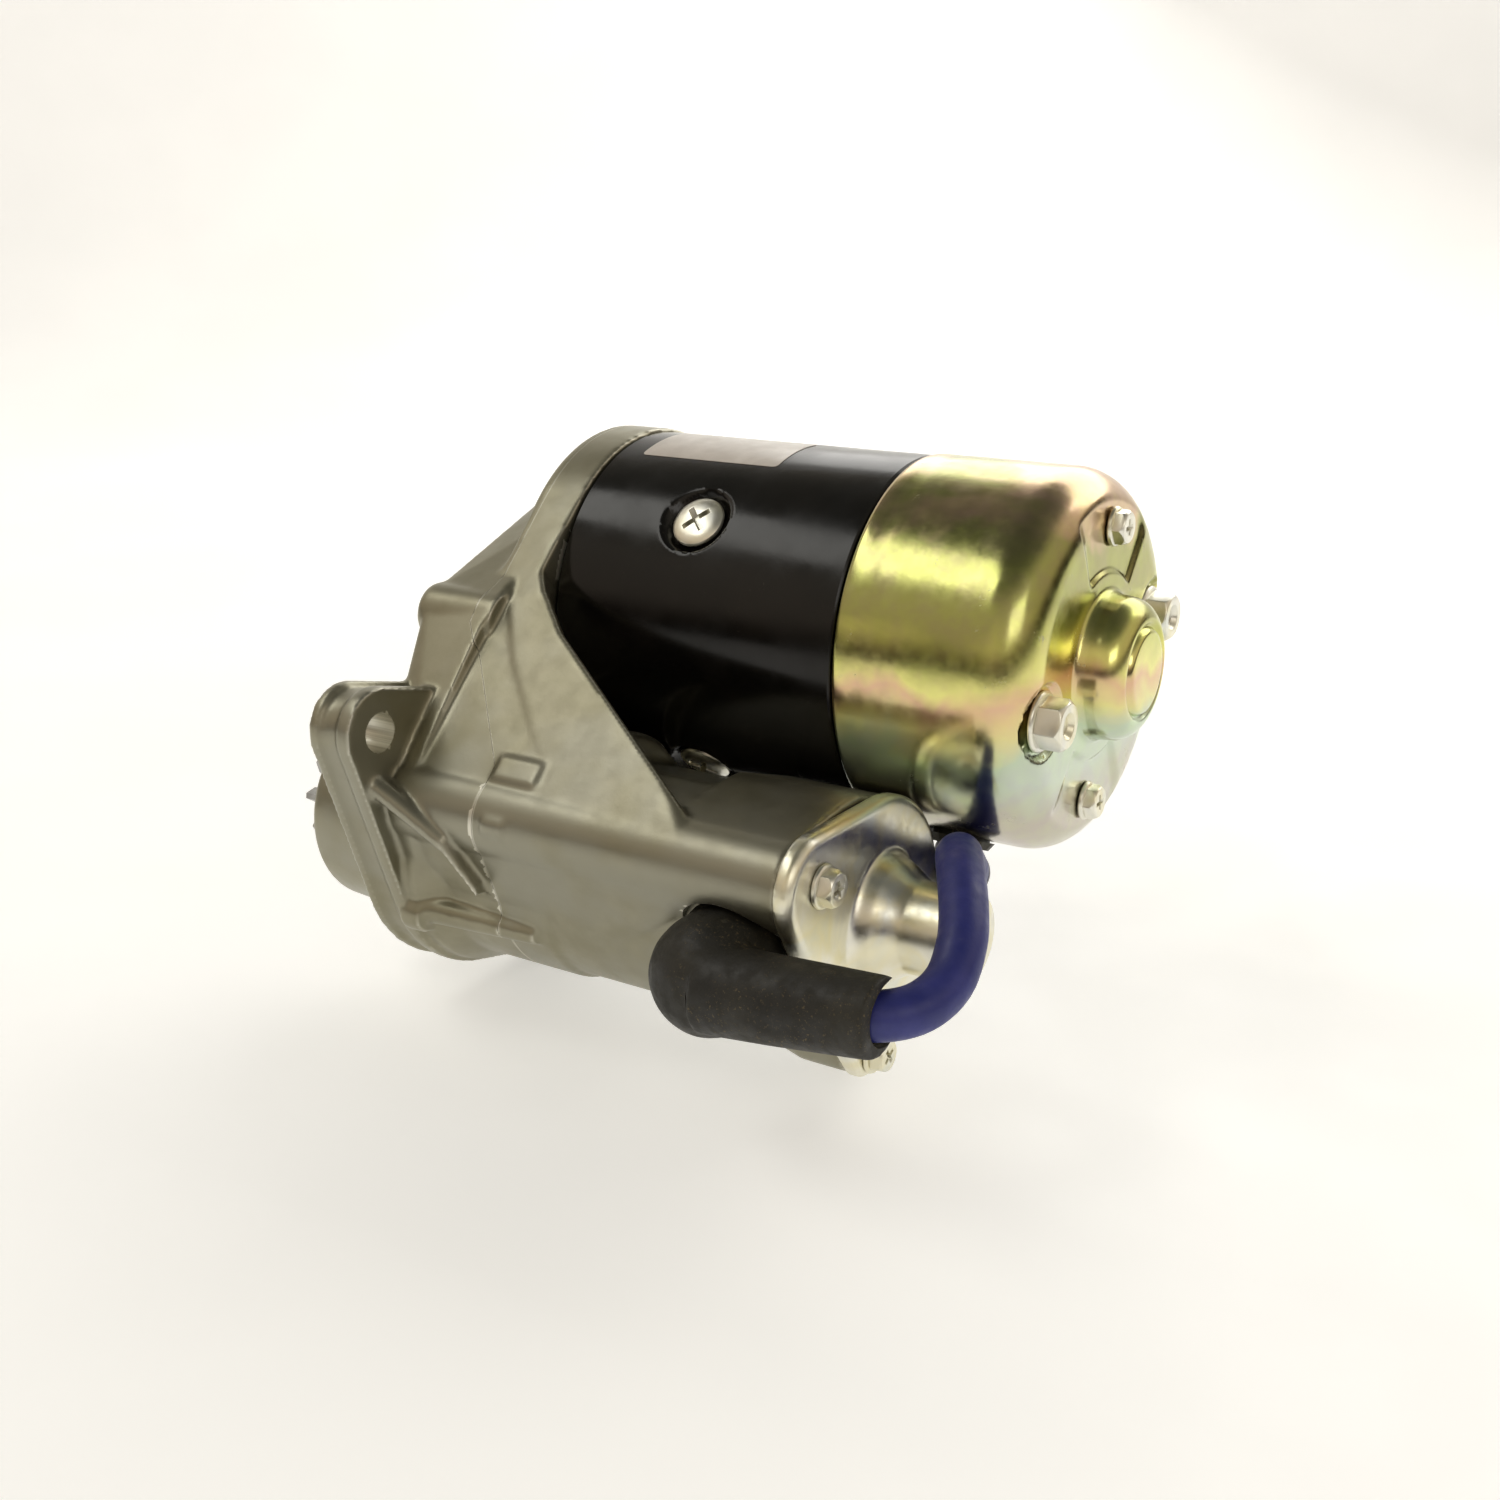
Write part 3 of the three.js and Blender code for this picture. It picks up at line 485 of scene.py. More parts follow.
def black_paint():
    f = Finish("black_paint", shine=0.32)
    dust = f.spread(f.noise(0.7, 2, 0.6), 0.70, 0.80)
    haze = f.spread(f.noise(22, 4), 0.45, 0.7)
    colour = f.mix(haze, (0.003, 0.0027, 0.0022), (0.006, 0.005, 0.004))
    colour = f.mix(f.math("MULTIPLY", dust, 0.12), colour, (0.2, 0.18, 0.14))
    f.bump((f.noise(2.6, 2), 0.012), (f.noise(0.6, 2), 0.004))
    return f.done(colour, f.spread(f.noise(14, 4), 0.3, 0.7, 0.13, 0.24))


def yellow_zinc():
    """Yellow passivation: its colour shifts by height round the cover, from rose at the top over olive and
    straw to pale green low down. These bands are partly the film's own hues and partly painted reflection:
    the bright straw band is a painted highlight, the dark olive band near the top and the pinkish streak
    stand for dark surroundings, and the pale green low down stands for the bright floor.
    """
    f = Finish("yellow_zinc", metallic=1.0)
    height = f.add("ShaderNodeSeparateXYZ")
    f.feed(height.inputs[0], f.place)
    level = f.spread(height.outputs["Z"], (MOTOR[1] - COVER_R) * MM, (MOTOR[1] + COVER_R) * MM)
    drift = f.math("MULTIPLY", f.math("SUBTRACT", f.noise(26, 3, 0.5, distortion=0.6), 0.5), 0.4)
    film = f.math("ADD", level, drift)
    # Partly painted reflection: the bands by height copy bright and dark parts of the surroundings over the
    # film's own hues.
    colour = f.ramp(film, [
        (0.02, (0.52, 0.50, 0.46)), (0.16, (0.52, 0.62, 0.58)), (0.30, (0.50, 0.65, 0.50)),
        (0.42, (0.76, 0.70, 0.31)), (0.51, (0.74, 0.47, 0.30)), (0.57, (0.80, 0.76, 0.26)),
        (0.68, (0.56, 0.58, 0.16)), (0.78, (0.33, 0.35, 0.10)), (0.94, (0.30, 0.31, 0.10)),
        (1.0, (0.60, 0.42, 0.28)),
    ])
    tint = f.mix(f.spread(f.noise(7, 3, 0.6), 0.35, 0.65), (0.66, 0.66, 0.24), (0.58, 0.45, 0.33))
    colour = f.mix(0.22, colour, tint)
    scuffs = f.math("MULTIPLY", f.spread(f.noise(11, 6, 0.75), 0.62, 0.72),
                    f.spread(f.noise(1.1, 3, 0.7), 0.46, 0.58))
    colour = f.mix(f.math("MULTIPLY", scuffs, 0.7), colour, (0.62, 0.60, 0.46))
    f.bump((f.noise(8, 3), 0.05), (f.noise(1.2, 3, 0.6), 0.006))
    smooth = f.spread(f.noise(4, 4), 0.3, 0.7, 0.16, 0.25)
    return f.done(colour, f.math("ADD", smooth, f.math("MULTIPLY", scuffs, 0.35)))


def bright_zinc():
    f = Finish("bright_zinc", metallic=1.0)
    film = f.noise(15, 3, 0.5, distortion=0.5)
    colour = f.ramp(film, [(0.30, (0.72, 0.72, 0.68)), (0.45, (0.84, 0.82, 0.70)),
                           (0.55, (0.82, 0.78, 0.58)), (0.68, (0.74, 0.76, 0.70))])
    # Painted shade: the colour darkens deep in corners and gaps.
    colour = f.mix(f.math("MULTIPLY", f.crevice_shade(2), 0.4), colour, (0.16, 0.15, 0.11))
    f.bump((f.noise(5, 3), 0.03), (f.noise(0.9, 3, 0.6), 0.006))
    return f.done(colour, f.spread(f.noise(2.5, 4), 0.3, 0.7, 0.28, 0.40))


def steel():
    f = Finish("steel", metallic=1.0)
    lines = f.noise(0.35, 2, 0.5, stretch=(4, 1, 1))
    colour = f.mix(f.spread(f.noise(7, 4), 0.35, 0.65), (0.36, 0.355, 0.34), (0.5, 0.495, 0.48))
    # Painted shade: the colour darkens towards near black deep in corners and gaps.
    colour = f.mix(f.math("MULTIPLY", f.crevice_shade(4), 0.6), colour, (0.06, 0.05, 0.035))
    f.bump((lines, 0.02))
    return f.done(colour, f.spread(lines, 0.3, 0.7, 0.28, 0.42))


def copper():
    f = Finish("copper", metallic=1.0)
    colour = f.mix(f.spread(f.noise(5, 4), 0.35, 0.65), (0.62, 0.30, 0.16), (0.76, 0.42, 0.26))
    f.bump((f.noise(0.8, 3), 0.05))
    return f.done(colour, f.spread(f.noise(2, 3), 0.3, 0.7, 0.28, 0.45))


def carbon():
    f = Finish("carbon")
    colour = f.mix(f.spread(f.noise(0.6, 3), 0.4, 0.7), (0.018, 0.018, 0.019), (0.05, 0.05, 0.052))
    f.bump((f.noise(0.4, 2), 0.03))
    return f.done(colour, f.spread(f.noise(1.5, 3), 0.3, 0.7, 0.5, 0.7))


def black_rubber():
    f = Finish("black_rubber")
    dust = f.math("MULTIPLY", f.spread(f.noise(0.75, 3, 0.75), 0.56, 0.68),
                  f.spread(f.noise(9, 4), 0.40, 0.62))
    colour = f.mix(f.spread(f.noise(12, 4), 0.35, 0.7), (0.007, 0.0065, 0.0042), (0.018, 0.0165, 0.0105))
    colour = f.mix(f.math("MULTIPLY", dust, 0.55), colour, (0.17, 0.125, 0.06))
    colour = f.mix(f.math("MULTIPLY", f.edges(0.52, 0.6), 0.35), colour, (0.075, 0.07, 0.05))
    f.bump((f.noise(4, 3), 0.12), (f.noise(0.5, 3, 0.6), 0.03))
    return f.done(colour, f.spread(f.noise(3, 4), 0.3, 0.7, 0.48, 0.72))


def blue_cable():
    f = Finish("blue_cable")
    colour = f.mix(f.spread(f.noise(8, 4), 0.35, 0.7), (0.016, 0.022, 0.16), (0.028, 0.034, 0.205))
    colour = f.mix(f.spread(f.noise(3, 5, 0.7), 0.6, 0.78, 0.0, 0.5), colour, (0.05, 0.055, 0.17))
    f.bump((f.noise(5, 3), 0.12), (f.noise(0.6, 2), 0.02))
    return f.done(colour, f.spread(f.noise(3, 4), 0.3, 0.7, 0.38, 0.55))


def dark_sleeve():
    f = Finish("dark_sleeve")
    colour = f.mix(f.spread(f.noise(5, 4), 0.35, 0.7), (0.008, 0.010, 0.04), (0.014, 0.016, 0.06))
    f.bump((f.noise(2, 3), 0.05))
    return f.done(colour, f.spread(f.noise(3, 4), 0.3, 0.7, 0.3, 0.45))


def label_film():
    """A blank printed film: warm white, slightly worn."""
    f = Finish("label_film", coat=0.4, coat_roughness=0.12)
    colour = f.mix(f.spread(f.noise(6, 4), 0.35, 0.7), (0.52, 0.47, 0.42), (0.62, 0.57, 0.52))
    colour = f.mix(f.spread(f.noise(1.2, 4, 0.7), 0.62, 0.75, 0.0, 0.5), colour, (0.36, 0.31, 0.26))
    f.bump((f.noise(1.5, 3), 0.01))
    return f.done(colour, f.spread(f.noise(5, 3), 0.3, 0.7, 0.3, 0.42))


FINISHES = {
    "cast_aluminium": cast_aluminium(), "black_paint": black_paint(), "yellow_zinc": yellow_zinc(),
    "bright_zinc": bright_zinc(), "steel": steel(), "copper": copper(), "carbon": carbon(),
    "black_rubber": black_rubber(), "blue_cable": blue_cable(),
}

for subpart in frame["record"]["subparts"]:
    node = frame["nodes"][subpart["node"]]
    node.data.materials.clear()
    node.data.materials.append(FINISHES[subpart["material_slot"]])


# ---- castings -----------------------------------------------------------------------------------
EARS = (EAR_AT, (-EAR_AT[0], -EAR_AT[1]))
BOSSES = (BOSS_AT, mirrored(BOSS_AT))
SHOULDER = polar(39.5, 160, MOTOR)
FLANGE_GROOVE = 1.3
CAST_VOXEL = 0.6
CAST_ROUNDS = 5
SEAM_GAP = 0.12   # finer than the CAD part's gap


# A bent brace from the near ear down to the barrel, as (x, point, radius). It stands further out than
# the CAD part's brace.
BRACE = [(10, (-39.4, 22.6), 2.6), (19.7, (-37.6, 16.4), 2.6), (29.5, (-36.4, 10.2), 2.3),
         (35.5, (-33.2, -1), 1.5)]


def flattened(points, reach):
    """A ring pressed flat on the side toward the yoke, that far from the pinion axis."""
    ny, nz = polar(1, FLAT_ANGLE)
    over = [max(y * ny + z * nz - reach, 0) for _, y, z in points]
    return [(x, y - o * ny, z - o * nz) for (x, y, z), o in zip(points, over)]


def barrel_lengths(circles):
    """The barrel's lengths round the same circles: round, flat by the coil, flat by the contacts."""
    return [wrap(*(flattened(ring(x, at, r, 96), reach) for x in ends for at, r in circles))
            for *ends, reach in ((13, 50, 60), (50, 86, FLAT_AT), (85, BARREL_END, BARREL_BORE + 1))]


def casting_skins():
    """The overlapping closed skins that both castings are cut from."""
    flange = [wrap(*(ring(x, PINION, FLANGE_R - inset) for x in (x0, x1)),
                   *(ring(x, e, EAR_R - inset) for e in EARS for x in (x0, x1)))
              for x0, x1, inset in ((0, 2.6, 0), (0, EAR_DEPTH - 1.5, FLANGE_GROOVE), (8, EAR_DEPTH, 0))]
    case = wrap(ring(-3, MOTOR, 29), ring(JOINT_X + 4, MOTOR, 33),
                *(r for b in BOSSES for r in (ring(-3, b, BOSS_R - 1), ring(JOINT_X + 4, b, BOSS_R))),
                ring(0.5, PINION, 30), ring(JOINT_X + 4, PINION, 30),
                ring(7, RIDGE_AT, RIDGE_R - 3), ring(JOINT_X + 4, RIDGE_AT, RIDGE_R - 0.6))
    bosses = [turned([(-5.4, 0), (-5.4, 5.6), (-4.8, 6.9), (-3.4, BOSS_R), (JOINT_X + 5, BOSS_R),
                      (JOINT_X + 5, 0)], b) for b in BOSSES]
    nose = turned([(-26, 0), (-26, 23.2), (-24.6, 24.6), (-3, 25.8), (2, 28), (2, 0)])
    neck = turned([(1, 0), (1, 32.6), (15, 32.6), (22, BARREL_R + 1), (50, BARREL_R + 1), (50, 0)])
    motor_flange = turned([(JOINT_X - 3, 0), (JOINT_X - 3, 42.6), (JOINT_X - 1.8, 43.8), (LIP_X, 43.8),
                           (LIP_X, 0)], MOTOR, 128)
    barrel = barrel_lengths([(PINION, BARREL_R)])
    ridge = barrel_lengths([(RIDGE_AT, RIDGE_R), ((-6, 8), 20)])
    crescent = smooth_path([(46.6, *polar(31.2, 170)), (45.2, *polar(28.9, 177)), (45.4, *polar(28.5, 183)),
                            (47, *polar(28.5, 188.5))], 1)
    braces = [wrap(*(ring(x, (k * y, k * z), r, 32) for x, (y, z), r in pair for k in (1, 0.72)))
              for pair in zip(BRACE, BRACE[1:])]
    braces += [wrap(ring(10, polar(31, 200), 3.6), ring(47, polar(28.8, 203), 2.4)),
               rod(10.5, 16.5, 4.4, polar(31.4, 203), 32), sweep(crescent, [0.95] * len(crescent), 16),
               slab([(38.5, 2), (50, 2), (50, -4), (38.5, -4)], WALL_LEAN, WALL_OUT - 3, WALL_OUT + 0.35),
               rod(40.5, 46, 3.6, (-34.2, 16.5), 32)]
    lobes = [wrap(ring(92, at, 3), ring(104, at, 6), ring(BARREL_END, at, 6), ring(88, PINION, 22),
                  ring(BARREL_END, PINION, 22)) for at in (LOWER_LOBE, FAR_LOBE)]
    return [*flange, case, *bosses, nose, neck, motor_flange, *barrel, *ridge, *lobes, *braces]


def wall_skin():
    return wrap(ring(JOINT_X - 1.8, MOTOR, 43.8, 128), ring(LIP_X - 0.4, MOTOR, 43.8, 128),
                ring(JOINT_X - 1, SHOULDER, 7.6), ring(LIP_X - 0.4, SHOULDER, 8.6),
                ring(11, RIDGE_AT, RIDGE_R - 1), ring(90, RIDGE_AT, RIDGE_R),
                ring(11, PINION, BARREL_R), ring(60, PINION, BARREL_R))


def wall_hollow():
    return wrap(ring(LIP_X - 0.2, MOTOR, 41.5, 128), ring(LIP_X + 3, MOTOR, 41.5, 128),
                ring(36, RIDGE_AT, RIDGE_R - 3.4), ring(100, RIDGE_AT, RIDGE_R - 3.4),
                ring(36, PINION, BARREL_R - 3), ring(100, PINION, BARREL_R - 3))


def slab(line, lean, low=-150.0, high=150.0):
    """A prism drawn as (x, distance up a plane that leans by that angle), pushed across the plane."""
    n = len(line)
    points = [(x, d, side) for side in (low, high) for x, d in line]
    faces = [list(range(n))[::-1], list(range(n, 2 * n))]
    faces += [[i, (i + 1) % n, n + (i + 1) % n, n + i] for i in range(n)]
    return moved((points, faces), Matrix.Rotation(math.radians(lean), 4, "X"))


def split_piece(front):
    """Everything on one side of the stepped joint between the two castings."""
    step = 0 if front else SEAM_GAP
    far = -80 if front else 200
    return slab([(far, -120), (SEAM_X + step, -120), (SEAM_X + step, -3), (JOINT_X + step, 30),
                 (JOINT_X + step, 160), (far, 160)], LEAN)


# The side wall's plane: how it leans, how far it lies from the pinion axis, its free edge, and the
# step beside the joint's band, as (x, distance up the wall).
WALL_LEAN = 44.4
WALL_OUT = 39.97
WALL_EDGE = [(LIP_X, 50), (26.8, 45.1), (37, 34.8), (90.2, -2.9)]
BAND_EDGE = [(12.4, 49.8), (28.3, 25.2), (42.5, 9.1), (52, -0.3)]
BAND_STEP = 0.4


def make_wall():
    wall = build("wall", wall_skin())
    cut(wall, slab([(0, -3), (BAND_EDGE[-1][0] + 1, -3), *BAND_EDGE[::-1], (12.4, 58), (0, 58)], WALL_LEAN,
                   WALL_OUT - BAND_STEP, WALL_OUT + 30),
        wall_hollow(), slab([(LIP_X, 130), *WALL_EDGE, (160, -52), (160, 130)], WALL_LEAN))
    return wall


def make_castings():
    wall = make_wall()
    outer = build("castings", *casting_skins(), shape_of(wall))
    bpy.data.objects.remove(wall)
    remesh(outer, CAST_VOXEL)
    relax(outer, CAST_ROUNDS)
    cut(outer, rod(LIP_X, 200, YOKE_R + 0.6, MOTOR, 160))
    rear = outer.copy()
    rear.data = outer.data.copy()
    rear.name = "switch_casting"
    bpy.context.scene.collection.objects.link(rear)
    outer.name = "drive_casting"

    gears = wrap(ring(3.4, MOTOR, 12), ring(30, MOTOR, 12), ring(3.4, IDLER, 22), ring(30, IDLER, 22),
                 ring(3.4, PINION, 29.2), ring(12.9, PINION, 29.2))
    keep(outer, split_piece(True))
    cut(outer, gears, rod(5, SEAM_X + 1, 25.4), rod(-30, 2, 17.2), rod(-8.5, 5, 20.3),
        rod(-1.2, 6, 4.3, IDLER), rod(1, 6, 6.5, MOTOR),
        *(rod(-5, 30, MOUNT_HOLE_R, e) for e in EARS),
        *(rod(-20, 40, 3.3, b) for b in BOSSES), *(rod(-20, 0.2, 6.3, b) for b in BOSSES))
    finish_piece(outer, FINISHES["cast_aluminium"], replaces=["drive_housing"], sharp=40)

    keep(rear, split_piece(False))
    terminals = ((TERMINAL_ANGLE, TERMINAL_X, 4.6, 14.2), (BATTERY_ANGLE, TERMINAL_X, 4.6, 10),
                 (SWITCH_ANGLE, 80, 3.4, 6))
    cut(rear, rod(0, 30, 9.6, MOTOR), rod(14.6, 30, 14.3, MOTOR), rod(10, 20, 4.3, IDLER),
        rod(10, 38.4, 25.4), rod(30, 50, 8), rod(42, 90, COIL_BORE, PINION, 96),
        rod(88.5, 130, BARREL_BORE, PINION, 96),
        *(rod(10, 20.5, 3.3, b) for b in BOSSES),
        *(rod(15, 30, 3.3, polar(BOLT_RING, a, MOTOR)) for a in BOLT_ANGLES),
        *(rod(106, 120, 2.4, polar(COVER_SCREW_RING, a)) for a in COVER_SCREW_ANGLES),
        *(radial(rod(15, 40, hole), a, x) for a, x, hole, _ in terminals),
        *(radial(rod(BARREL_R + 0.1, 60, pad), a, x) for a, x, _, pad in terminals))
    finish_piece(rear, FINISHES["cast_aluminium"], replaces=["switch_housing"], sharp=40)


make_castings()


# ---- yoke with its pressed dimples, and the label -----------------------------------------------
def smoothstep(t):
    t = np.clip(t, 0, 1)
    return t * t * (3 - 2 * t)


def skin_of(grid, closed_round=True):
    """Quads of a grid of points: rows along the profile, columns round."""
    rows, columns, _ = grid.shape
    points = grid.reshape(-1, 3).tolist()
    faces = []
    for i in range(rows - 1):
        for j in range(columns if closed_round else columns - 1):
            k = (j + 1) % columns
            faces.append([i * columns + j, i * columns + k, (i + 1) * columns + k, (i + 1) * columns + j])
    return points, faces


def round_grid(x, r, theta, at):
    """Points from arrays of x and radius, one row per profile point and one column per angle."""
    return np.stack((x, at[0] + r * np.cos(theta), at[1] + r * np.sin(theta)), axis=2)


def make_yoke():
    columns = 400
    theta = np.linspace(0, 2 * np.pi, columns, endpoint=False)
    x0, x1 = LIP_X + GAP, YOKE_END - GAP
    along = np.concatenate(([x0, x0 + 0.5], np.arange(x0 + 1, x1 - 0.6, 0.7), [x1 - 0.5, x1]))
    x, angle = np.meshgrid(along, theta, indexing="ij")
    r = np.full_like(x, YOKE_R)
    r[0] -= 0.5
    r[-1] -= 0.5
    for degrees in POLE_ANGLES:
        turn = (angle - math.radians(degrees) + np.pi) % (2 * np.pi) - np.pi
        away = np.hypot(x - POLE_X, turn * YOKE_R)
        r -= 2.3 * (1 - smoothstep((away - 6.9) / 2.2))
    outside = round_grid(x, r, angle, MOTOR)
    inside = round_grid(x[::-1], np.full_like(x, YOKE_R - YOKE_WALL), angle, MOTOR)
    grid = np.concatenate((outside, inside, outside[:1]))
    obj = build("yoke_shell", skin_of(grid))
    bm = bmesh.new()
    bm.from_mesh(obj.data)
    bmesh.ops.remove_doubles(bm, verts=bm.verts, dist=1e-7)
    bm.to_mesh(obj.data)
    bm.free()
    cut(obj, *(radial(rod(30, 50, 4.6), a, POLE_X, MOTOR) for a in POLE_ANGLES))
    finish_piece(obj, FINISHES["black_paint"], replaces=["yoke"])


LABEL_X = (30.7, 69.0)
LABEL_ANGLES = (86.0, 111.5)
LABEL_CORNER = 1.2


def make_label():
    """A thin film stuck on the yoke, corners rounded."""
    centre_x, centre_a = sum(LABEL_X) / 2, sum(LABEL_ANGLES) / 2
    half_x = (LABEL_X[1] - LABEL_X[0]) / 2
    half_s = math.radians(LABEL_ANGLES[1] - LABEL_ANGLES[0]) / 2 * YOKE_R
    u = np.linspace(-half_x, half_x, 60)
    v = np.linspace(-half_s, half_s, 40)
    u, v = np.meshgrid(u, v, indexing="ij")
    corner = (np.maximum(np.abs(u) - (half_x - LABEL_CORNER), 0),
              np.maximum(np.abs(v) - (half_s - LABEL_CORNER), 0))
    reach = np.hypot(*corner)
    pull = np.where(reach > LABEL_CORNER, LABEL_CORNER / np.maximum(reach, 1e-9), 1)
    u = np.sign(u) * (np.abs(u) - corner[0] * (1 - pull))
    v = np.sign(v) * (np.abs(v) - corner[1] * (1 - pull))
    angle = math.radians(centre_a) + v / YOKE_R
    top = round_grid(centre_x + u, np.full_like(u, YOKE_R + 0.14), angle, MOTOR)
    under = round_grid(centre_x + u, np.full_like(u, YOKE_R + 0.02), angle, MOTOR)
    points, faces = skin_of(top, closed_round=False)
    low_points, low_faces = skin_of(under, closed_round=False)
    n, (rows, columns, _) = len(points), top.shape
    rim = [j for j in range(columns)]
    rim += [i * columns + columns - 1 for i in range(1, rows)]
    rim += [(rows - 1) * columns + j for j in range(columns - 2, -1, -1)]
    rim += [i * columns for i in range(rows - 2, 0, -1)]
    sides = [[a, b, n + b, n + a] for a, b in zip(rim, rim[1:] + rim[:1])]
    obj = build("label", (points + low_points, faces + [[n + i for i in f] for f in low_faces] + sides))
    finish_piece(obj, label_film())


make_yoke()
make_label()


# ---- end cover ----------------------------------------------------------------------------------
def make_end_cover():
    """A drawn cup: embossed end face, bearing dome, pockets for the bolts."""
    steps = 14
    arc = [(COVER_X - CORNER_R + CORNER_R * math.sin(math.pi / 2 * i / steps),
            COVER_R - CORNER_R + CORNER_R * math.cos(math.pi / 2 * i / steps)) for i in range(steps + 1)]
    x0 = YOKE_END + GAP
    side = [(x0, COVER_R - 0.7), (x0 + 0.5, COVER_R - 0.1), (x0 + 1.2, COVER_R)]
    side += [(x, COVER_R) for x in np.arange(x0 + 2.4, COVER_X - CORNER_R - 1, 1.6)]
    face = [(COVER_X, r) for r in np.arange(COVER_R - CORNER_R - 0.5, 18.6, -0.5)]
    dome = [(COVER_X, 18), (145.2, 17.2), (146, 16.6), (147.6, 16.3), (149.4, 16.15), (150.8, 16),
            (152.2, 15.4), (153.4, 14.6), (154.4, 13.4), (155, 12.2), (155.2, 11.4), (155, 10.9),
            (154.5, 10.5), (154.4, 10.1), (154.9, 9.7), (155.5, 9.3), (155.75, 8.8), (155.8, 8),
            (155.8, 4), (155.8, 0.4)]
    profile = np.array(side + arc + face + dome)
    columns = 360
    theta = np.linspace(0, 2 * np.pi, columns, endpoint=False)
    x = np.repeat(profile[:, :1], columns, axis=1)
    r = np.repeat(profile[:, 1:], columns, axis=1)
    angle = np.repeat(theta[None], len(profile), axis=0)

    on_face = smoothstep((x - (COVER_X - 1.2)) / 1.1) * smoothstep((r - 17.0) / 0.8)
    y, z = r * np.cos(angle), r * np.sin(angle)
    for a in BOLT_ANGLES:
        by, bz = polar(BOLT_RING, a)
        away = np.hypot(y - by, z - bz)
        x -= 1.6 * (1 - smoothstep((away - 7.6) / 1.2)) * smoothstep((x - (COVER_X - 4)) / 3)
    for a in BRUSH_SCREW_ANGLES:
        turn = (angle - math.radians(a) + np.pi) % (2 * np.pi) - np.pi
        sector = 1 - smoothstep((np.abs(turn) - math.radians(28)) / math.radians(6))
        x -= 0.9 * sector * on_face * smoothstep((r - 20.5) / 1.5)
    groove = np.exp(-(((x - (x0 + 5.2)) / 0.5) ** 2)) * (r > COVER_R - 1)
    r = r - 0.22 * groove
    outside = round_grid(x, r, angle, MOTOR)
    inner = [(153.6, 0.4), (153.6, 9), (151.6, 13), (142.8, 13.4), (142.4, 15.2), (142.4, COVER_R - CORNER_R)]
    inner += [(COVER_X - CORNER_R + (CORNER_R - COVER_WALL) * math.sin(math.pi / 2 * i / 6),
               COVER_R - CORNER_R + (CORNER_R - COVER_WALL) * math.cos(math.pi / 2 * i / 6))
              for i in range(5, -1, -1)]
    inner += [(x0, COVER_R - COVER_WALL)]
    inner = np.array(inner)
    ix = np.repeat(inner[:, :1], columns, axis=1)
    ir = np.repeat(inner[:, 1:], columns, axis=1)
    inside = round_grid(ix, ir, np.repeat(theta[None], len(inner), axis=0), MOTOR)
    points, faces = skin_of(np.concatenate((outside[::-1], outside[:1], inside[::-1])))
    rows = len(outside) + 1 + len(inside)
    faces.append([j for j in range(columns)])
    faces.append([(rows - 1) * columns + j for j in range(columns)])
    obj = build("end_cover_shell", (points, faces))
    bm = bmesh.new()
    bm.from_mesh(obj.data)
    bmesh.ops.remove_doubles(bm, verts=bm.verts, dist=1e-7)
    bmesh.ops.recalc_face_normals(bm, faces=bm.faces)
    bm.to_mesh(obj.data)
    bm.free()
    cut(obj, *(rod(130, 150, 3.4, polar(BOLT_RING, a, MOTOR)) for a in BOLT_ANGLES),
        *(rod(130, 150, 2.5, polar(BRUSH_SCREW_RING, a, MOTOR)) for a in BRUSH_SCREW_ANGLES),
        radial(rod(30, 60, 7.4), LEAD_EXIT, LEAD_X, MOTOR))
    finish_piece(obj, FINISHES["yellow_zinc"], replaces=["end_cover"], sharp=50)


make_end_cover()


# ---- screws and bolts ---------------------------------------------------------------------------
def cross_slots(x, length, width, depth, turn=20):
    """Cutting tools for a cross recess in a head whose top is at x, tapering inward."""
    tools = []
    for a in (turn, turn + 90):
        outline = [(-length, -width), (length, -width), (length, width), (-length, width)]
        top = [(x + 0.5, *p) for p in outline]
        low = [(x - depth, p[0] * 0.45, p[1] * 0.7) for p in outline]
        tools.append(moved(wrap(top, low), Matrix.Rotation(math.radians(a), 4, "X")))
    return tools


def at_place(obj, matrix):
    to_metres = Matrix.Diagonal((MM, MM, MM, 1))
    to_millimetres = Matrix.Diagonal((1 / MM, 1 / MM, 1 / MM, 1))
    obj.data.transform(to_metres @ matrix @ to_millimetres)
    obj.data.update()
    return obj


def radial_matrix(degrees, x, at):
    a = math.radians(degrees)
    out, along = Vector((0, math.cos(a), math.sin(a))), Vector((1, 0, 0))
    return Matrix.Translation((x, *at)) @ Matrix((out, along, out.cross(along))).transposed().to_4x4()


def make_pole_screws():
    for i, a in enumerate(POLE_ANGLES):
        obj = build(f"pole_screw_head_{i + 1}", turned(
            [(29, 0), (29, 4), (40.9, 4), (40.9, 6.35), (41.4, 6.5), (41.9, 6.3), (42.4, 5.6), (42.8, 4.2),
             (42.95, 2.2), (43, 0)], PINION, 48))
        cut(obj, *cross_slots(43, 4.3, 0.8, 1.9, turn=28 + 17 * i))
        at_place(obj, radial_matrix(a, POLE_X, MOTOR))
        finish_piece(obj, FINISHES["bright_zinc"], replaces=[f"pole_screw_{i + 1}"], sharp=30)


def hexagon(across, turn):
    return [polar(across / math.sqrt(3), 60 * i + turn) for i in range(6)]


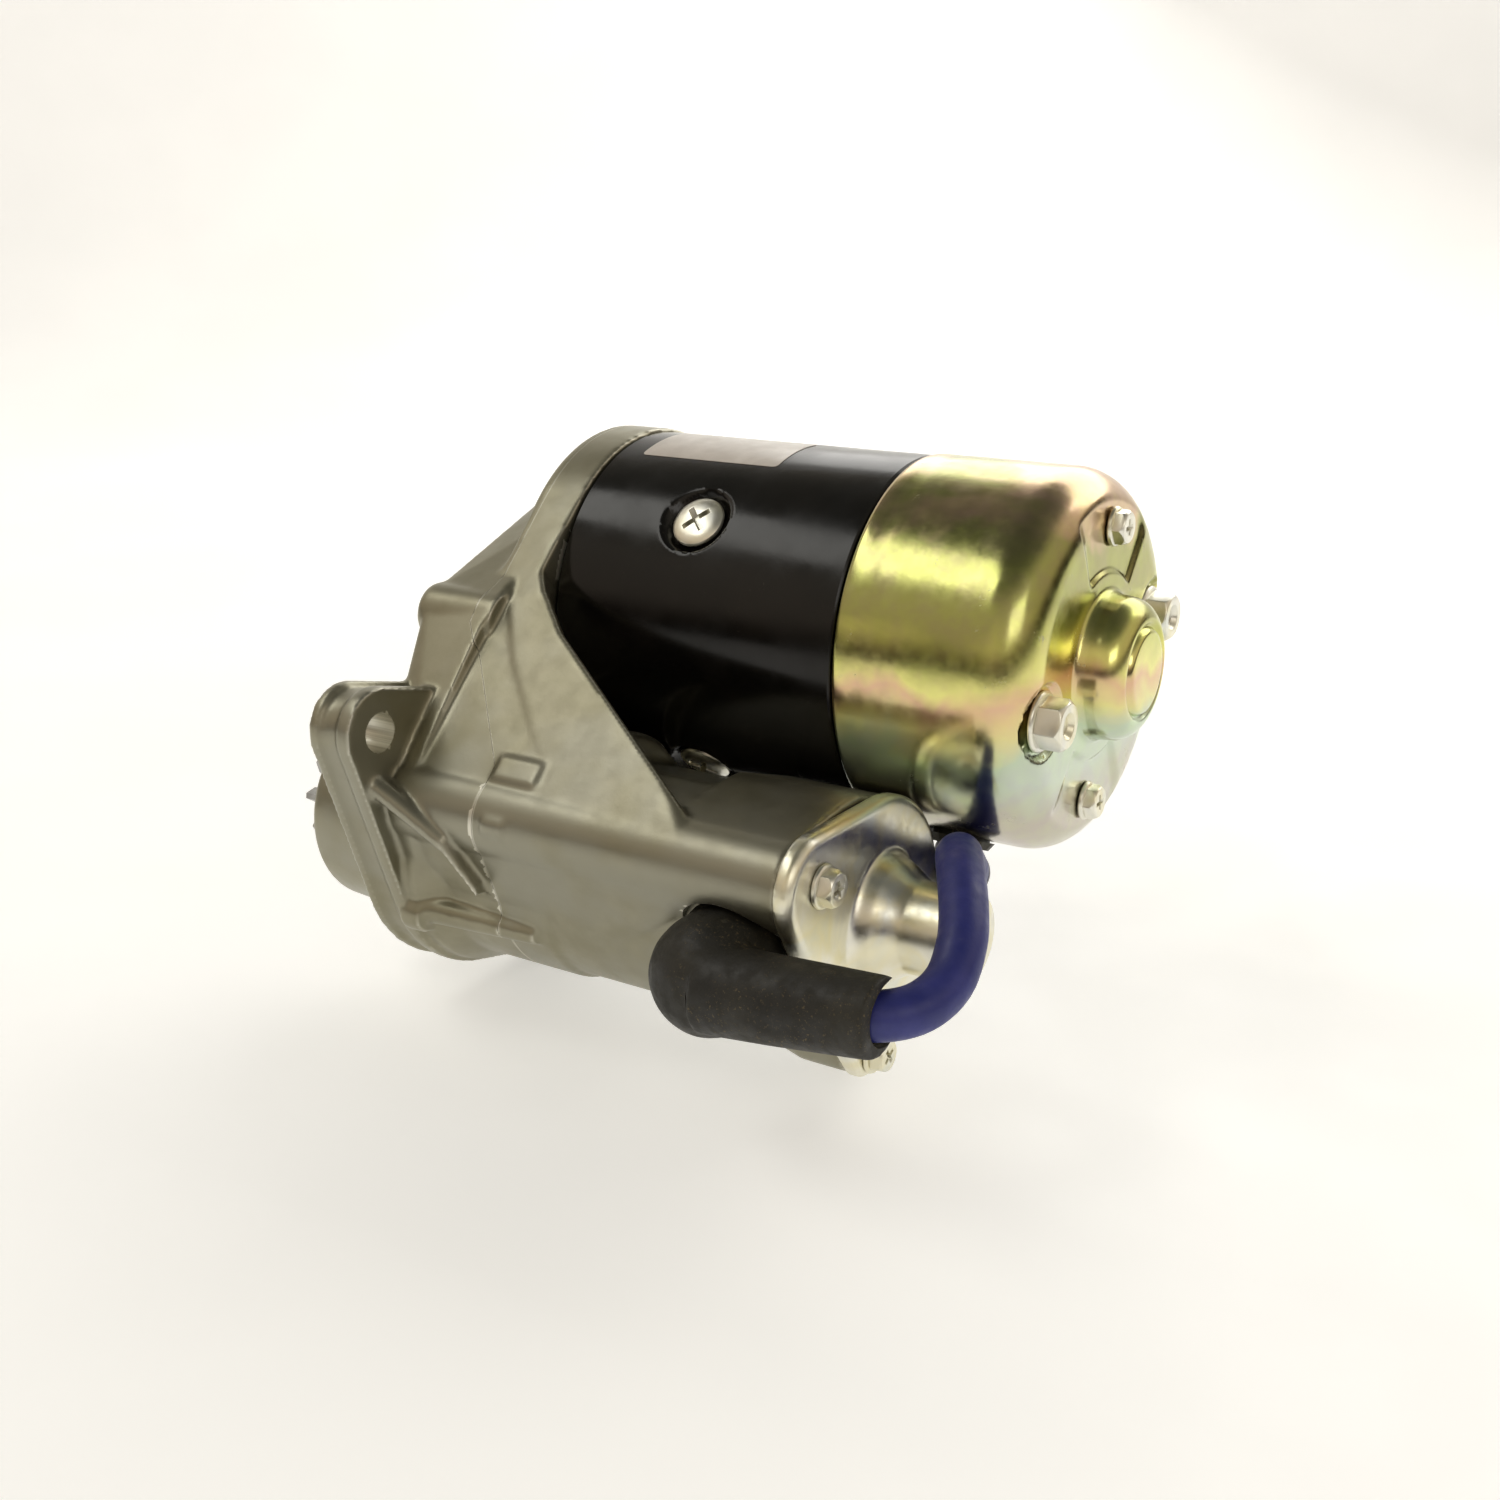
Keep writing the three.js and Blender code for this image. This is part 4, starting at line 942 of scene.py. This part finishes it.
def make_hex_bolt(name, node, seat, across, height, shank_r, tip_x, washer_r, at, turn=12, cross=0.0):
    """A hexagon head with a domed top, its washer and its shank."""
    head = build(name, prism(hexagon(across, turn), seat + 1.1, seat + 1.2 + height))
    top = seat + 1.2 + height
    keep(head, turned([(seat, 0), (seat, across * 0.62), (top - 1.2, across * 0.6), (top, across * 0.48),
                       (top, 0)],
                      PINION, 48))
    join(head, turned([(seat + 0.15, 0), (seat + 0.15, washer_r), (seat + 0.5, washer_r + 0.2),
                       (seat + 1.0, washer_r), (seat + 1.25, washer_r - 0.4), (seat + 1.25, 0)], PINION, 48),
         rod(tip_x, seat + 1, shank_r, PINION, 32))
    if cross:
        cut(head, *cross_slots(top, across * 0.33, 0.55, cross, turn=turn))
    else:
        cut(head, turned([(top - 1.3, 0), (top - 1.3, across * 0.22), (top, across * 0.3),
                          (top + 3, across * 0.3), (top + 3, 0)], PINION, 32))
    soften(head, 0.18, 2)
    at_place(head, Matrix.Translation((0, *at)))
    finish_piece(head, FINISHES["bright_zinc"], replaces=[node], sharp=30)


def make_bolts():
    for i, a in enumerate(BOLT_ANGLES):
        make_hex_bolt(f"through_bolt_head_{i + 1}", f"through_bolt_{i + 1}", 143.4, 10, 5.6, 2.95, 20.0, 6.6,
                      polar(BOLT_RING, a, MOTOR))
    for i, a in enumerate(BRUSH_SCREW_ANGLES):
        make_hex_bolt(f"brush_screw_head_{i + 1}", f"brush_holder_screw_{i + 1}", 144.2, 7, 2.6, 2.0,
                      130.0, 4.3, polar(BRUSH_SCREW_RING, a, MOTOR), turn=5, cross=1.4)
    for i, a in enumerate(COVER_SCREW_ANGLES):
        make_hex_bolt(f"cover_screw_head_{i + 1}", f"cover_screw_{i + 1}", 119.9, 7, 3.0, 2.0, 108.0, 4.6,
                      polar(COVER_SCREW_RING, a), turn=9 + 25 * i, cross=1.6)


make_pole_screws()
make_bolts()


# ---- solenoid cover -----------------------------------------------------------------------------
def make_solenoid_cover():
    lobes = ((RIDGE_AT, 11.4), (LOWER_LOBE, 6.4), (FAR_LOBE, 6.4))
    plate = wrap(ring(BARREL_END + GAP, PINION, 26.8, 96), ring(CAP_X - 1, PINION, 26.8, 96),
                 *(r for at, radius in lobes for r in (
                     ring(BARREL_END + GAP, at, radius, 48), ring(CAP_X - 1.4, at, radius, 48),
                     ring(CAP_X, at, radius - 1.4, 48))), ring(CAP_X, PINION, 25.6, 96))
    cup = turned([(CAP_X - 2, 0), (CAP_X - 2, 16.6), (CAP_X, 15.4), (121.2, 14.3), (123.5, 13.4),
                  (127.5, 10.9), (129, CUP_R + 0.1), (CUP_END - 1.6, CUP_R), (CUP_END - 0.5, CUP_R - 0.6),
                  (CUP_END, CUP_R - 1.8),
                  (CUP_END, 0)], PINION, 96)
    obj = build("solenoid_shell", plate, cup)
    remesh(obj, 0.45)
    relax(obj, 4)
    cut(obj, turned([(110, 0), (110, 23.4), (CAP_X - 1.6, 23.4), (CAP_X - 1.6, 12.6), (127, 8.6),
                     (CUP_END - 1.6, 8.4), (CUP_END - 1.6, 0)], PINION, 96),
        *(rod(100, 130, 2.4, polar(COVER_SCREW_RING, a)) for a in COVER_SCREW_ANGLES))
    finish_piece(obj, FINISHES["bright_zinc"], replaces=["solenoid_cover"], sharp=40)


make_solenoid_cover()


# ---- motor lead, its sleeve and the boot --------------------------------------------------------
LEAD_ROUTE = [
    (LEAD_X, *polar(35, LEAD_EXIT, MOTOR)), (LEAD_X + 0.2, *polar(COVER_R + 3.4, LEAD_EXIT, MOTOR)),
    (123.6, 32.2, 1.4), (128.4, 23, 5.4), (132.6, 11, 12.8), (136.6, 2, 16.9), (141, -6, 16.9),
    (146.2, -15, 13.2), (149.4, -22, 9.3), (150.4, -29.5, 4.0), (148.2, -36.5, 1.2), (143.2, -41.8, 0.2),
    (133, -43.9, -0.6), (TERMINAL_X + 12, -44.2, -2.6),
]


def make_lead():
    path = smooth_path(LEAD_ROUTE, 1.5)
    obj = build("lead_cable", sweep(path, [LEAD_R] * len(path)))
    lug = block(TERMINAL_X - 6, TERMINAL_X + 15, -43.6, -41.4, -7.8, 1.2)
    join(obj, lug)
    cut(obj, radial(rod(30, 60, 4.4), TERMINAL_ANGLE, TERMINAL_X))
    finish_piece(obj, FINISHES["blue_cable"], replaces=["motor_lead"])
    start = next(i for i, p in enumerate(path) if (p - Vector(LEAD_ROUTE[1])).length < 2.5)
    sleeve_path = path[start:start + 9]
    radii = [LEAD_R + 0.55] * len(sleeve_path)
    radii[0] = radii[-1] = LEAD_R + 0.2
    sleeve = build("lead_sleeve", sweep(sleeve_path, radii))
    finish_piece(sleeve, dark_sleeve())


def make_boot():
    cap = radial(turned([(28.8, 0), (28.8, 13.4), (31, 13), (33, 12.7), (38, 13), (42, 12.4), (45.4, 10.8),
                         (48.1, 8.2), (49.9, 4.8), (50.6, 0)], PINION, 64), TERMINAL_ANGLE, TERMINAL_X)
    sleeve = wrap(ring(TERMINAL_X + 3, (-43, -3.3), 9.4), ring(TERMINAL_X + 20, (-43.9, -1.6), 8.8),
                  ring(143.5, (-43, 0.2), 8.2))
    obj = build("boot", cap, sleeve)
    remesh(obj, 0.5)
    relax(obj, 14)
    cut(obj, radial(turned([(26, 0), (26, 9.6), (43, 9.4), (47, 7), (47.8, 0)], PINION, 48),
                    TERMINAL_ANGLE, TERMINAL_X),
        wrap(ring(TERMINAL_X + 2, (-44, -3.3), 6.6), ring(133, (-43.9, -0.6), 6.2),
             ring(150, (-39.5, 0.8), 6.8)))
    finish_piece(obj, FINISHES["black_rubber"], replaces=["terminal_boot"], sharp=50)


make_lead()
make_boot()


# ---- CAD nodes that stay: softened edges --------------------------------------------------------
for name, node in frame["nodes"].items():
    if not node.hide_render:
        modifier = node.modifiers.new("soften", "BEVEL")
        modifier.width, modifier.segments = 0.15 * MM, 1
        modifier.limit_method, modifier.angle_limit = "ANGLE", math.radians(40)


# ---- studio -------------------------------------------------------------------------------------
FLOOR_Z = cad_box[0].z - 0.0005


def make_floor():
    """A pale sweep: flat under the object, rising behind it."""
    f = Finish("pale_floor")
    colour = f.mix(f.spread(f.noise(120, 3), 0.35, 0.65), (0.86, 0.86, 0.845), (0.9, 0.9, 0.885))
    material = f.done(colour, f.spread(f.noise(40, 3), 0.3, 0.7, 0.55, 0.7))
    f.shader.inputs["Emission Color"].default_value = (1.0, 1.0, 0.985, 1)
    f.shader.inputs["Emission Strength"].default_value = 0.38
    reach, rise, bend = 1400, 1500, 500
    profile = [(-reach, 0), (reach - bend, 0)]
    profile += [(reach - bend + bend * math.sin(a), bend - bend * math.cos(a))
                for a in (math.pi / 2 * i / 16 for i in range(1, 17))]
    profile += [(reach, rise)]
    points = [(side, d, h) for side in (-2200, 2200) for d, h in profile]
    n = len(profile)
    obj = build("floor", (points, [[i, i + 1, n + i + 1, n + i] for i in range(n - 1)]))
    turn = Matrix.Rotation(math.radians(CAMERA_AZIMUTH), 4, "Z")
    obj.data.transform(Matrix.Translation((0, 0, FLOOR_Z)) @ turn)
    obj.data.materials.append(material)
    obj.data.shade_smooth()


def make_light(name, at, look, size, watts, colour=(1, 1, 1)):
    data = bpy.data.lights.new(name, "AREA")
    data.shape, data.size, data.size_y, data.energy, data.color = "RECTANGLE", *size, watts, colour
    light = bpy.data.objects.new(name, data)
    light.location = at
    light.rotation_euler = (Vector(look) - Vector(at)).to_track_quat("-Z", "Y").to_euler()
    bpy.context.scene.collection.objects.link(light)


def make_world():
    """Dim ceiling, warm and brighter halfway up, dark at the horizon."""
    world = bpy.data.worlds.new("studio")
    bpy.context.scene.world = world
    world.use_nodes = True
    tree = world.node_tree
    place = tree.nodes.new("ShaderNodeTexCoord")
    split = tree.nodes.new("ShaderNodeSeparateXYZ")
    ramp = tree.nodes.new("ShaderNodeValToRGB")
    stops = [(0.0, (0.04, 0.035, 0.03)), (0.10, (0.10, 0.075, 0.055)), (0.24, (0.60, 0.50, 0.39)),
             (0.58, (0.64, 0.56, 0.45)), (0.80, (0.17, 0.165, 0.14)), (1.0, (0.10, 0.10, 0.09))]
    while len(ramp.color_ramp.elements) < len(stops):
        ramp.color_ramp.elements.new(0.5)
    for element, (at, colour) in zip(ramp.color_ramp.elements, stops):
        element.position, element.color = at, (*colour, 1)
    tree.links.new(place.outputs["Generated"], split.inputs[0])
    tree.links.new(split.outputs["Z"], ramp.inputs["Fac"])
    tree.links.new(ramp.outputs["Color"], tree.nodes["Background"].inputs["Color"])
    tree.nodes["Background"].inputs["Strength"].default_value = 1.0


def make_studio():
    make_floor()
    make_world()
    centre = (0.06, 0.03, 0.03)
    make_light("key", (-0.45, -0.42, 0.95), centre, (0.9, 0.3), 2.6, (1.0, 0.985, 0.93))
    make_light("fill", (0.9, -0.5, 0.5), centre, (0.5, 0.3), 0.9, (1.0, 0.99, 0.97))
    make_light("back", (0.1, 1.1, 0.7), (0.06, 0.2, 0.0), (1.6, 0.7), 7, (1.0, 0.99, 0.96))
    bpy.context.scene.view_settings.view_transform = "Standard"


make_studio()
